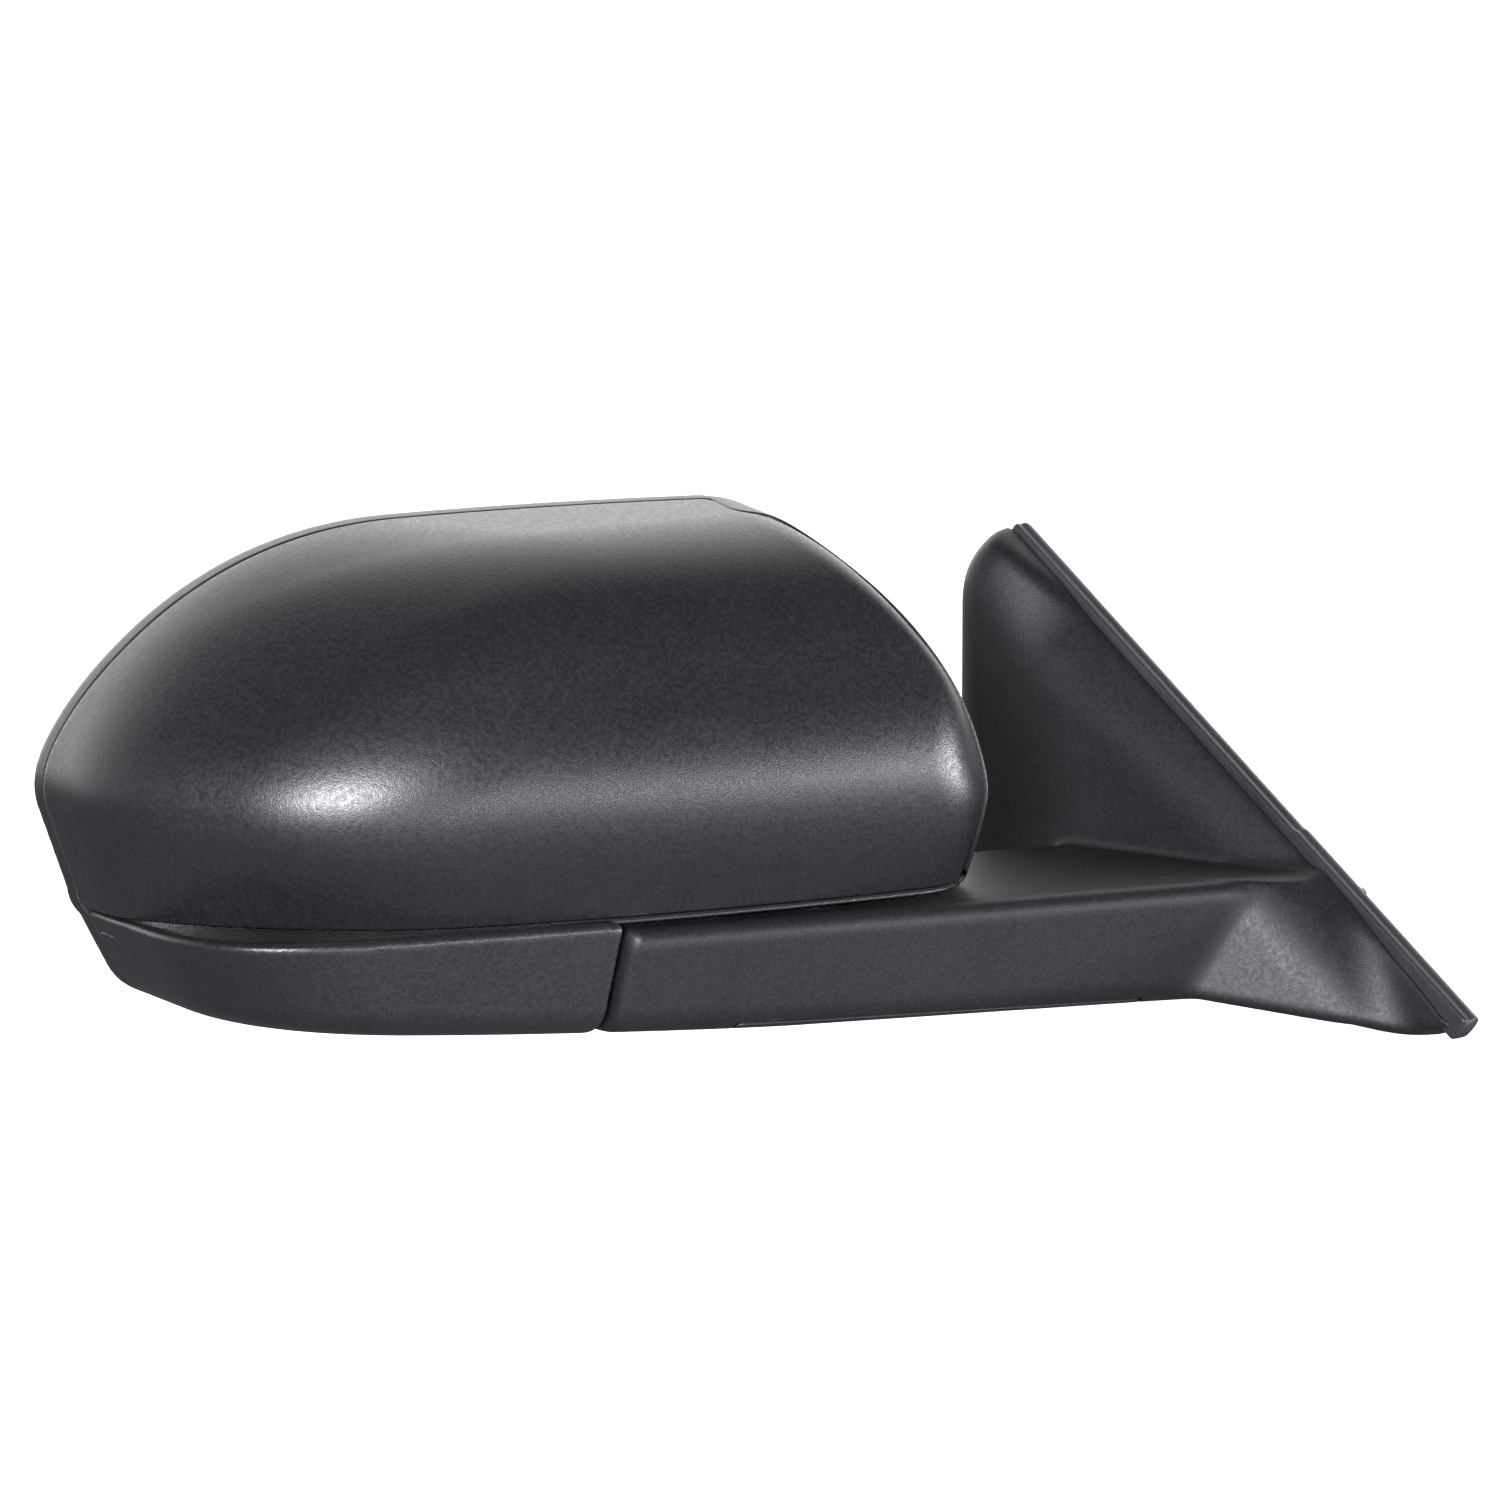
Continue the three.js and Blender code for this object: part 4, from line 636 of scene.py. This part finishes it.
def screw_holes(out, fwd, z, spots, radius):
    """Round openings in the underside, positive within them."""
    holes = np.full(np.shape(out), -30.0)
    for hole_out, hole_fwd in spots:
        inside = radius - np.hypot(out - hole_out, fwd - hole_fwd)
        holes = np.maximum(holes, np.where(z < 14, inside, -30.0))
    return holes


def lower_solid(out, fwd, z):
    return smax(cover_field(out, fwd, z), z - COVER_Z, 3)


def lower_region(out, fwd, z):
    under_head = np.minimum(-(head_field(out, fwd, np.maximum(z, 36.5)) + 4.0), z - 30)
    edge = smax(RIM_DEPTH + HALF_SEAM - rim_depth(out, fwd), under_head, 3)
    return np.maximum(edge, screw_holes(out, fwd, z, COVER_SCREWS, COVER_SCREW_R))


lower = panel(lower_solid, lower_region, (55, -60, -10), (215, 58, 42),
              cell=1.3, roll=0.8, depth=2.6)
make("lower_cover_shell", [lower], "head", materials["grained_plastic"],
     replaces="lower_cover")

# ---------------------------------------------------------------- glass outline
# Corners in the rim frame, clockwise in the (along, z) plane: (along, z, corner radius)
GLASS_CORNERS = [
    (-115, -37, 16), (-118, -14, 30), (-100, 19, 34), (-68, 44.5, 26), (58, 38, 26),
    (85, 22.5, 26), (106, 0, 26), (104, -26, 26), (91, -47, 20), (62, -49, 12)]


def rounded(corners, segments):
    """Polygon with its corners turned into arcs."""
    outline = []
    for i, (x, y, radius) in enumerate(corners):
        corner = np.array((x, y), float)
        before = np.array(corners[i - 1][:2], float) - corner
        after = np.array(corners[(i + 1) % len(corners)][:2], float) - corner
        before_length, after_length = np.linalg.norm(before), np.linalg.norm(after)
        before /= before_length
        after /= after_length
        half = math.acos(np.clip(before @ after, -1, 1)) / 2
        reach = min(radius / math.tan(half), 0.49 * before_length, 0.49 * after_length)
        fitted = reach * math.tan(half)
        middle = before + after
        centre = middle / np.linalg.norm(middle) * (fitted / math.sin(half)) + corner
        start = before * reach + corner - centre
        end = after * reach + corner - centre
        angle = math.atan2(start[1], start[0])
        turn = math.remainder(math.atan2(end[1], end[0]) - angle, 2 * math.pi)
        for k in range(segments + 1):
            at = angle + turn * k / segments
            outline.append((centre[0] + fitted * math.cos(at), centre[1] + fitted * math.sin(at)))
    return np.array(outline)


GLASS = rounded(GLASS_CORNERS, segments=12)

# Distances to the outline on a grid, looked up between its points
GRID_STEP = 0.5
GRID_ALONG, GRID_Z = -150.0, -110.0
GLASS_GRID = polygon_field(GLASS, *np.meshgrid(
    GRID_ALONG + GRID_STEP * np.arange(601), GRID_Z + GRID_STEP * np.arange(401), indexing="ij"))


def glass_distance(out, fwd, z):
    u = np.clip((rim_along(out, fwd) - GRID_ALONG) / GRID_STEP, 0, 599.999)
    v = np.clip((z - GLASS_Z - GRID_Z) / GRID_STEP, 0, 399.999)
    i, j = u.astype(int), v.astype(int)
    u, v = u - i, v - j
    return (GLASS_GRID[i, j] * (1 - u) * (1 - v) + GLASS_GRID[i + 1, j] * u * (1 - v)
            + GLASS_GRID[i, j + 1] * (1 - u) * v + GLASS_GRID[i + 1, j + 1] * u * v)


# ---------------------------------------------------------------- rear housing
POCKET_GAP = 4.2        # round the glass; it widens towards the rim
LIP_INSET = 2.75
LIP_HALF_WIDTH = 3.2


def rear_solid(out, fwd, z):
    depth = rim_depth(out, fwd)
    proud = 0.9 * ease(8, -6, out)
    upper = smax(head_field(out, fwd, np.maximum(z, 36)) - proud, FLOOR_Z - z, 3)
    lower_part = smax(smax(cover_field(out, fwd, z), z - 40, 2), 25 - out, 2)
    body = smax(smin(upper, lower_part, 2), -depth, 4.5)
    flare = 0.09 * np.clip(10 - depth, 0, None)
    pocket = np.maximum(glass_distance(out, fwd, z) - POCKET_GAP - flare, depth - 60)
    return smax(body, -pocket, 4.5)


def rear_side(out, fwd, z):
    """Negative on the rear housing's side of its seam with the skull cap."""
    flank = smax(out - (SPLIT_OUT - HALF_SEAM), fwd - (split_fwd(z) - HALF_SEAM), 5)
    return smin(rim_depth(out, fwd) - (RIM_DEPTH - HALF_SEAM), flank, 2)


def rear_region(out, fwd, z):
    pocket = np.where(glass_distance(out, fwd, z) < 5.6, rim_depth(out, fwd) - 24, -50)
    return np.maximum(rear_side(out, fwd, z), pocket)


def lip_solid(out, fwd, z):
    return rear_solid(out, fwd, z) + LIP_INSET


def lip_region(out, fwd, z):
    return np.maximum(np.abs(rear_side(out, fwd, z)) - LIP_HALF_WIDTH, 38.5 - z)


# Section of the floor plate: (from the outer edge?, radius or offset from the edge, z)
FLOOR_SECTION = [
    (False, 22.4, 35.2), (False, 22.7, 34.95), (True, -0.6, 34.95), (True, -0.15, 35.1),
    (True, 0.0, 35.4), (True, 0.0, 36.2), (False, 22.4, 36.2)]


def floor_plate(count=220):
    """Floor of the head over the arm: a ring round the pivot, out to the head's skin."""
    angles = np.linspace(0, 2 * math.pi, count, endpoint=False)
    cosine, sine = np.cos(angles), np.sin(angles)
    edge = np.full(count, 150.0)
    for radius in np.linspace(20, 150, 260)[::-1]:
        out, fwd = radius * cosine, PIVOT_FWD + radius * sine
        skin = head_field(out, fwd, np.full_like(out, CAP_Z)) + 0.5
        limit = np.maximum(np.maximum(skin, out - 86), -rim_depth(out, fwd) + 1.0)
        edge = np.where(limit > 0, radius, edge)
    points, faces = [], []
    for k, (from_edge, size, z) in enumerate(FLOOR_SECTION):
        radius = edge + size if from_edge else np.full(count, size)
        points.append(np.stack([radius * cosine, PIVOT_FWD + radius * sine,
                                np.full(count, z)], 1))
        faces += ring_faces(k * count, (k + 1) % len(FLOOR_SECTION) * count, count)
    return np.concatenate(points), faces


rear = panel(rear_solid, rear_region, (-75, -66, -10), (216, 50, 158),
             cell=1.5, roll=0.8, depth=2.6)
# a thin lip inside the seam, so that no light shows through the joint
lip = panel(lip_solid, lip_region, (-75, -66, 30), (216, 50, 158),
            cell=1.9, roll=0.25, depth=0.9)
make("rear_housing_shell", [rear, floor_plate(), lip], "head", materials["black_plastic"],
     replaces="rear_housing")

# ---------------------------------------------------------------- base housing (world frame)
# The sail's sloping edge in (y, z): its top, its run down to the front, and its normal
EDGE_TOP = (84.5, 125.7)
EDGE_RUN = (-0.805, -0.5934)
EDGE_NORMAL = (-0.5934, 0.805)
# Faces for face(): normal and point in (x, y), then in (y, z)
SAIL_MAIN = (-0.9964, -0.0847, -25, 89)
SAIL_CORNER = (0.74, 0.673, 94.5, 116.5)
SAIL_BOTTOM = (0.013, -1, -80, -9.2)
SAIL_BOTTOM_FRONT = (-0.2, -0.98, -82, -9.3)
SAIL_REAR_Y = 94.5
BASE_SCREWS = [(40, 12)]                # (out, fwd)
BOTTOM_SCREWS = [(-84, -22), (-84, 17)]
BASE_SCREW_R = 3.8
# Outline of the arm's bottom cover: (out, fwd)
BOTTOM_OUTLINE = np.array([(-104, -36), (20, -36), (27, -20), (28, 60), (-104, 60)], float)


def edge_height(y, z):
    """Distance above the sloping edge."""
    return face(y, z, (*EDGE_NORMAL, *EDGE_TOP))


def sail_field(x, y, z):
    height = edge_height(y, z)
    run = face(y, z, (*EDGE_RUN, *EDGE_TOP))
    # a gently twisted bevel along the sloping edge
    bevel_x = (-8.6 - 11 * ease(42, 4, run)
               + np.clip(height, -60, 4) * (0.92 - 0.0037 * (run - 48)))
    bevel = -(x - bevel_x) * 0.74
    body = smax(face(x, y, SAIL_MAIN), bevel, 4 + 6 * ease(60, 110, z))
    body = smax(body, smax(y - SAIL_REAR_Y, face(y, z, SAIL_CORNER), 9), 12)
    body = smax(body, height, 3.5)
    return smax(body, smax(face(y, z, SAIL_BOTTOM), face(y, z, SAIL_BOTTOM_FRONT), 2), 5)


def plane_through(first, second, third, outward):
    """Unit normal on the outward side, and its distance from the origin."""
    first, second, third = map(np.array, (first, second, third))
    normal = np.cross(second - first, third - first)
    normal = normal / np.linalg.norm(normal)
    if normal @ np.array(outward) < 0:
        normal = -normal
    return normal, float(normal @ first)


def plane_field(plane, x, y, z):
    normal, distance = plane
    return normal[0] * x + normal[1] * y + normal[2] * z - distance


# Gusset between sail and arm, by corners that its faces share
GUSSET_TOP, GUSSET_FRONT = (-32.9, -33.3, 31.8), (-15.1, -68.0, -5.5)
GUSSET_SIDE_PLANE = plane_through(GUSSET_TOP, (-45.9, -20.1, -0.1), GUSSET_FRONT, (-1, -0.5, 0))
GUSSET_BOTTOM_PLANE = plane_through((-46.8, -19.0, -1.6), (-12.3, -73.2, -10.2), (0, -40, -6.0),
                                    (0, 0, -1))
GUSSET_TOP_PLANE = plane_through(GUSSET_TOP, GUSSET_FRONT, (-8.6, -52.4, 24.8), (-0.3, -0.3, 1))


def gusset_field(x, y, z):
    bottom = smax(plane_field(GUSSET_BOTTOM_PLANE, x, y, z), -(z + 9.4), 3)
    body = smax(plane_field(GUSSET_SIDE_PLANE, x, y, z),
                plane_field(GUSSET_TOP_PLANE, x, y, z), 6)
    body = smax(smax(body, bottom, 4), edge_height(y, z) + 1.0, 4)
    return np.maximum(np.maximum(body, y + 12), z - 32.5)


def base_solid(x, y, z):
    out, fwd = world_to_head(x, y)
    arm_end = np.where(out > 0, pivot_radius(out, fwd), 0.0) - ARM_R
    arm = smax(arm_field(out, fwd, z), arm_end, 3.2)
    near_gusset = plane_field(GUSSET_TOP_PLANE, x, y, z) - 0.4 - 80 * ease(-33, -48, x)
    arm = smax(arm, near_gusset, 4)
    return smin(smin(sail_field(x, y, z), gusset_field(x, y, z), 5), arm, 2.4)


def bottom_region(out, fwd, z, gap):
    """Negative within the arm's bottom cover, drawn in by gap."""
    parting_z = -0.8 + (out + 96) * (4 / 152)
    return smax(polygon_field(BOTTOM_OUTLINE, out, fwd) + gap, (z - parting_z) + gap, 2)


def base_region(x, y, z):
    out, fwd = world_to_head(x, y)
    pivot_hole = np.where(z > 15, PIVOT_HOLE_R - pivot_radius(out, fwd), -20)
    under = np.where(z < 14, -bottom_region(out, fwd, z, 0.0), -20)
    under = np.maximum(under, screw_holes(out, fwd, z, BASE_SCREWS, BASE_SCREW_R))
    rebate = np.minimum(x + 8.3, edge_height(y, z) + 3.1)
    return np.maximum(np.maximum(x + 1.4, pivot_hole), np.maximum(under, rebate))


def bottom_cover_region(x, y, z):
    out, fwd = world_to_head(x, y)
    return np.maximum(bottom_region(out, fwd, z, 0.35),
                      screw_holes(out, fwd, z, BOTTOM_SCREWS, BASE_SCREW_R))


base = panel(base_solid, base_region, (-232, -100, -22), (8, 118, 138),
             cell=1.4, roll=0.6, depth=2.6)
# arm and sail take the darker copy of the grained plastic, whose darkness is painted shade
make("base_housing_shell", [base], "base", materials["grained_base"],
     replaces="base_housing", to_world=same_place)
bottom_cover = panel(base_solid, bottom_cover_region, (-200, -30, -22), (-20, 98, 16),
                     cell=1.4, roll=0.5, depth=2.0)
make("arm_bottom_cover_shell", [bottom_cover], "base", materials["grained_base"],
     replaces="arm_bottom_cover", to_world=same_place)

# ---------------------------------------------------------------- glass (rim frame)
# Edge of the pane from the front round to the rear face: (outline offset, depth)
PANE_EDGE = [(-0.6, 7.0), (0.0, 6.6), (0.0, 5.5), (-0.25, 5.2), (-0.7, 5.02)]
PANE_BULGE = 1.15
PANE_CENTRE = np.array([-6.0, -4.0])


def offset_outline(outline, distance):
    """Outline grown by distance; it runs clockwise, so its left is outside."""
    after = np.roll(outline, -1, axis=0) - outline
    after /= np.linalg.norm(after, axis=1, keepdims=True)
    after = np.stack([-after[:, 1], after[:, 0]], 1)
    mitre = np.roll(after, 1, axis=0) + after
    mitre /= np.linalg.norm(mitre, axis=1, keepdims=True)
    cosine = (mitre * np.roll(after, 1, axis=0)).sum(1, keepdims=True)
    return outline + mitre * distance / np.maximum(0.4, cosine)


def glass_pane():
    count = len(GLASS)
    rings = [(offset_outline(GLASS, grow), depth) for grow, depth in PANE_EDGE]
    edge, edge_depth = rings[-1]
    for t in np.linspace(0.04, 0.96, 16):   # the curved face, towards its centre
        rings.append((edge * (1 - t) + PANE_CENTRE * t,
                      edge_depth - PANE_BULGE * (1 - (1 - t) ** 2)))
    points = [np.stack([ring[:, 0], np.full(count, depth), ring[:, 1]], 1)
              for ring, depth in rings]
    faces = []
    for k in range(len(rings) - 1):
        faces += ring_faces(k * count, (k + 1) * count, count)
    last = (len(rings) - 1) * count
    faces += [tuple(range(last, last + count)), tuple(range(count - 1, -1, -1))]
    return np.concatenate(points), faces


make("mirror_glass_pane", [glass_pane()], "glass", materials["mirror"],
     replaces="mirror_glass", to_world=rim_to_world)

# ---------------------------------------------------------------- seal on the sloping edge
# Control points of its section: (x, height above the edge)
SEAL_SECTION = np.array([
    (-7.6, -6.2), (-2.2, -6.2), (-0.9, -5.0), (-0.25, -3.2), (-0.05, -0.6), (-0.45, 0.25),
    (-1.6, 0.95), (-2.6, 1.35), (-3.6, 1.42), (-4.6, 1.05), (-5.2, 0.95), (-6.2, 1.25),
    (-7.1, 1.3), (-7.75, 0.95), (-8.0, 0.3), (-8.05, -1.2), (-8.1, -2.6), (-8.05, -3.2),
    (-7.9, -4.2)])
SEAL_START, SEAL_END = 0.6, 219.8       # along the edge from its top
SEAL_STATIONS = np.unique(np.concatenate([
    np.linspace(SEAL_START, SEAL_END, 90), [0.9, 1.4, 218.7, 219.3], np.linspace(136, 142, 9)]))


def smooth_section(controls):
    """Closed Catmull-Rom curve, three points to a span."""
    curve = []
    for i, p1 in enumerate(controls):
        p0, p2, p3 = (controls[(i + k) % len(controls)] for k in (-1, 1, 2))
        for t in (0, 1 / 3, 2 / 3):
            curve.append(0.5 * ((2 * p1) + (-p0 + p2) * t
                                + (2 * p0 - 5 * p1 + 4 * p2 - p3) * t * t
                                + (-p0 + 3 * p1 - 3 * p2 + p3) * t ** 3))
    return np.array(curve)


def seal_strip():
    section = smooth_section(SEAL_SECTION)
    centre, count = section.mean(0), len(section)
    points, faces = [], []
    for run in SEAL_STATIONS:
        to_end = min(run - SEAL_START, SEAL_END - run)
        scale = 1 - 0.12 * max(0, 1 - to_end / 0.8) ** 2    # rounds the ends
        ring = centre + (section - centre) * scale
        # the lip is a little fuller on the lower part of the run
        ring[ring[:, 1] > 0, 1] += 0.55 * float(ease(137.5, 140.0, run))
        y, z = (EDGE_TOP[k] + EDGE_RUN[k] * run + EDGE_NORMAL[k] * ring[:, 1] for k in (0, 1))
        points.append(np.stack([ring[:, 0], y, z], 1))
    last = (len(SEAL_STATIONS) - 1) * count
    for row in range(0, last, count):
        for i in range(count):
            j = (i + 1) % count
            faces.append((row + i, row + count + i, row + count + j, row + j))
    faces += [tuple(range(count)), tuple(range(last + count - 1, last - 1, -1))]
    return np.concatenate(points), faces


make("sail_edge_seal_strip", [seal_strip()], "base", materials["seal_rubber"],
     replaces="sail_edge_seal", to_world=same_place)


# ---------------------------------------------------------------- CAD pieces that stay
def dress_cad_pieces():
    """Material and a fine bevel for every CAD node that no shell replaces."""
    slots = {part["node"]: part["material_slot"] for part in frame["record"]["subparts"]}
    for name, ob in frame["nodes"].items():
        if name in replaced_nodes:
            continue
        ob.data.materials.clear()
        ob.data.materials.append(materials[slots[name]])
        bevel = ob.modifiers.new("edge", "BEVEL")
        bevel.width = 0.00018
        bevel.segments = 2
        bevel.limit_method = "ANGLE"
        bevel.angle_limit = math.radians(40)
        bevel.use_clamp_overlap = True
        bevel.harden_normals = False


dress_cad_pieces()

# ---------------------------------------------------------------- floor (metres from here on)
FLOOR_HALF, FLOOR_CELLS, FLOOR_HEIGHT = 60.0, 24, -0.45
FLOOR_GLOW = 0.02                       # emission that everything but the camera sees
FLOOR_BACK = (0.13, 0.13, 0.14, 1)      # and the colour


def floor_paper():
    """Pale to the camera, a dim grey for the light it throws back, clear from below."""
    shader = Shader("floor_paper")
    tint = shader.noise(scale=3, detail=2, roughness=0.5)
    colour = shader.ramp(tint, (0.3, (0.86, 0.86, 0.87)), (0.7, (0.90, 0.90, 0.90)))
    to_camera = shader.node("ShaderNodeLightPath").outputs["Is Camera Ray"]
    glow = shader.remap(to_camera, source=(0, 1), target=(FLOOR_GLOW, 1.0))
    clear = shader.node("ShaderNodeBsdfTransparent").outputs[0]
    below = shader.node("ShaderNodeNewGeometry").outputs["Backfacing"]
    either = shader.node("ShaderNodeMixShader",
                         {0: below, 1: shader.principled.outputs[0], 2: clear})
    shader.put(shader.output, {0: either.outputs[0]})
    return shader.finish({
        "Base Color": shader.mix_colour(to_camera, FLOOR_BACK, colour), "Roughness": 0.9,
        "Emission Color": (1, 1, 1, 1), "Emission Strength": glow})


def add_floor():
    mesh = bpy.data.meshes.new("studio_floor")
    places = [-FLOOR_HALF + 2 * FLOOR_HALF * i / FLOOR_CELLS for i in range(FLOOR_CELLS + 1)]
    row = FLOOR_CELLS + 1
    corners = [j * row + i for j in range(FLOOR_CELLS) for i in range(FLOOR_CELLS)]
    mesh.from_pydata([(x, y, FLOOR_HEIGHT) for y in places for x in places], [],
                     [(k, k + 1, k + row + 1, k + row) for k in corners])
    ob = bpy.data.objects.new("studio_floor", mesh)
    bpy.context.scene.collection.objects.link(ob)
    mesh.materials.append(floor_paper())


add_floor()

# ---------------------------------------------------------------- lights, world, camera
TARGET = Vector((-0.1549, 0.050, 0.0758))
LIGHT_DISTANCE = 1.9
LIGHT_COLOUR = (1.0, 0.985, 1.05)
# name, azimuth, elevation (degrees), width, height (m), power (W)
LIGHTS = [
    ("front_left", -56, 11, 0.5, 0.10, 60.0),
    ("front_strip", 4, -8, 2.6, 0.12, 26.0),
    ("front_right", 43, -6, 0.26, 0.09, 21.0),
    ("front_low", -15, -30, 1.4, 0.5, 0.9)]
# Bright lobes of the studio, all behind the mirror: azimuth, elevation (degrees),
# cosine at the lobe's outer edge and at its full part, strength
LOBES = [(135, 12, 0.35, 0.93, 2.2), (-178, 10, 0.6, 0.96, 1.2), (-135, 5, 0.7, 0.97, 0.75)]
AMBIENT = 0.015
CAMERA_DISTANCE = 1.8
VIEW_WIDTH = 0.4275     # width of the view at the target


def direction(azimuth, elevation):
    """Azimuth 0 is straight ahead (-y) and grows towards +x."""
    azimuth, elevation = math.radians(azimuth), math.radians(elevation)
    return (math.sin(azimuth) * math.cos(elevation), -math.cos(azimuth) * math.cos(elevation),
            math.sin(elevation))


def add_aimed(name, data, azimuth, elevation, distance):
    """Object round the target that looks at it."""
    ob = bpy.data.objects.new(name, data)
    bpy.context.scene.collection.objects.link(ob)
    place = TARGET + Vector(direction(azimuth, elevation)) * distance
    ob.location = place
    ob.rotation_euler = (TARGET - place).to_track_quat("-Z", "Y").to_euler()
    return ob


def add_lights():
    for name, azimuth, elevation, width, height, power in LIGHTS:
        light = bpy.data.lights.new(name, "AREA")
        light.shape = "RECTANGLE"
        light.size = width
        light.size_y = height
        light.energy = power
        light.color = LIGHT_COLOUR
        add_aimed(name, light, azimuth, elevation, LIGHT_DISTANCE)


def add_world():
    """White to the camera; for light and reflections, a dark studio with bright lobes."""
    world = bpy.data.worlds.new("studio")
    bpy.context.scene.world = world
    tree = Tree(world)
    coords = tree.node("ShaderNodeTexCoord").outputs["Generated"]
    total = AMBIENT
    for azimuth, elevation, edge, full, strength in LOBES:
        cosine = tree.node("ShaderNodeVectorMath", {0: coords, 1: direction(azimuth, elevation)},
                           operation="DOT_PRODUCT").outputs["Value"]
        lobe = tree.remap(cosine, source=(edge, full), target=(0, strength),
                          interpolation_type="SMOOTHSTEP")
        first, second = (lobe, total) if total is AMBIENT else (total, lobe)
        total = tree.math("ADD", first, second)
    studio = tree.node("ShaderNodeBackground", {0: (0.97, 0.98, 1.0, 1), 1: total})
    white = tree.node("ShaderNodeBackground", {0: (1, 1, 1, 1), 1: 1.0})
    to_camera = tree.node("ShaderNodeLightPath").outputs["Is Camera Ray"]
    either = tree.node("ShaderNodeMixShader",
                       {0: to_camera, 1: studio.outputs[0], 2: white.outputs[0]})
    tree.node("ShaderNodeOutputWorld", {0: either.outputs[0]})


def add_camera():
    camera = bpy.data.cameras.new("camera")
    camera.sensor_width = 36.0
    camera.lens = 36.0 * CAMERA_DISTANCE / VIEW_WIDTH
    camera.clip_end = 50
    bpy.context.scene.camera = add_aimed("camera", camera, azimuth=-45, elevation=8.5,
                                         distance=CAMERA_DISTANCE)


add_lights()
add_world()
add_camera()
bpy.context.scene.view_settings.view_transform = "Standard"
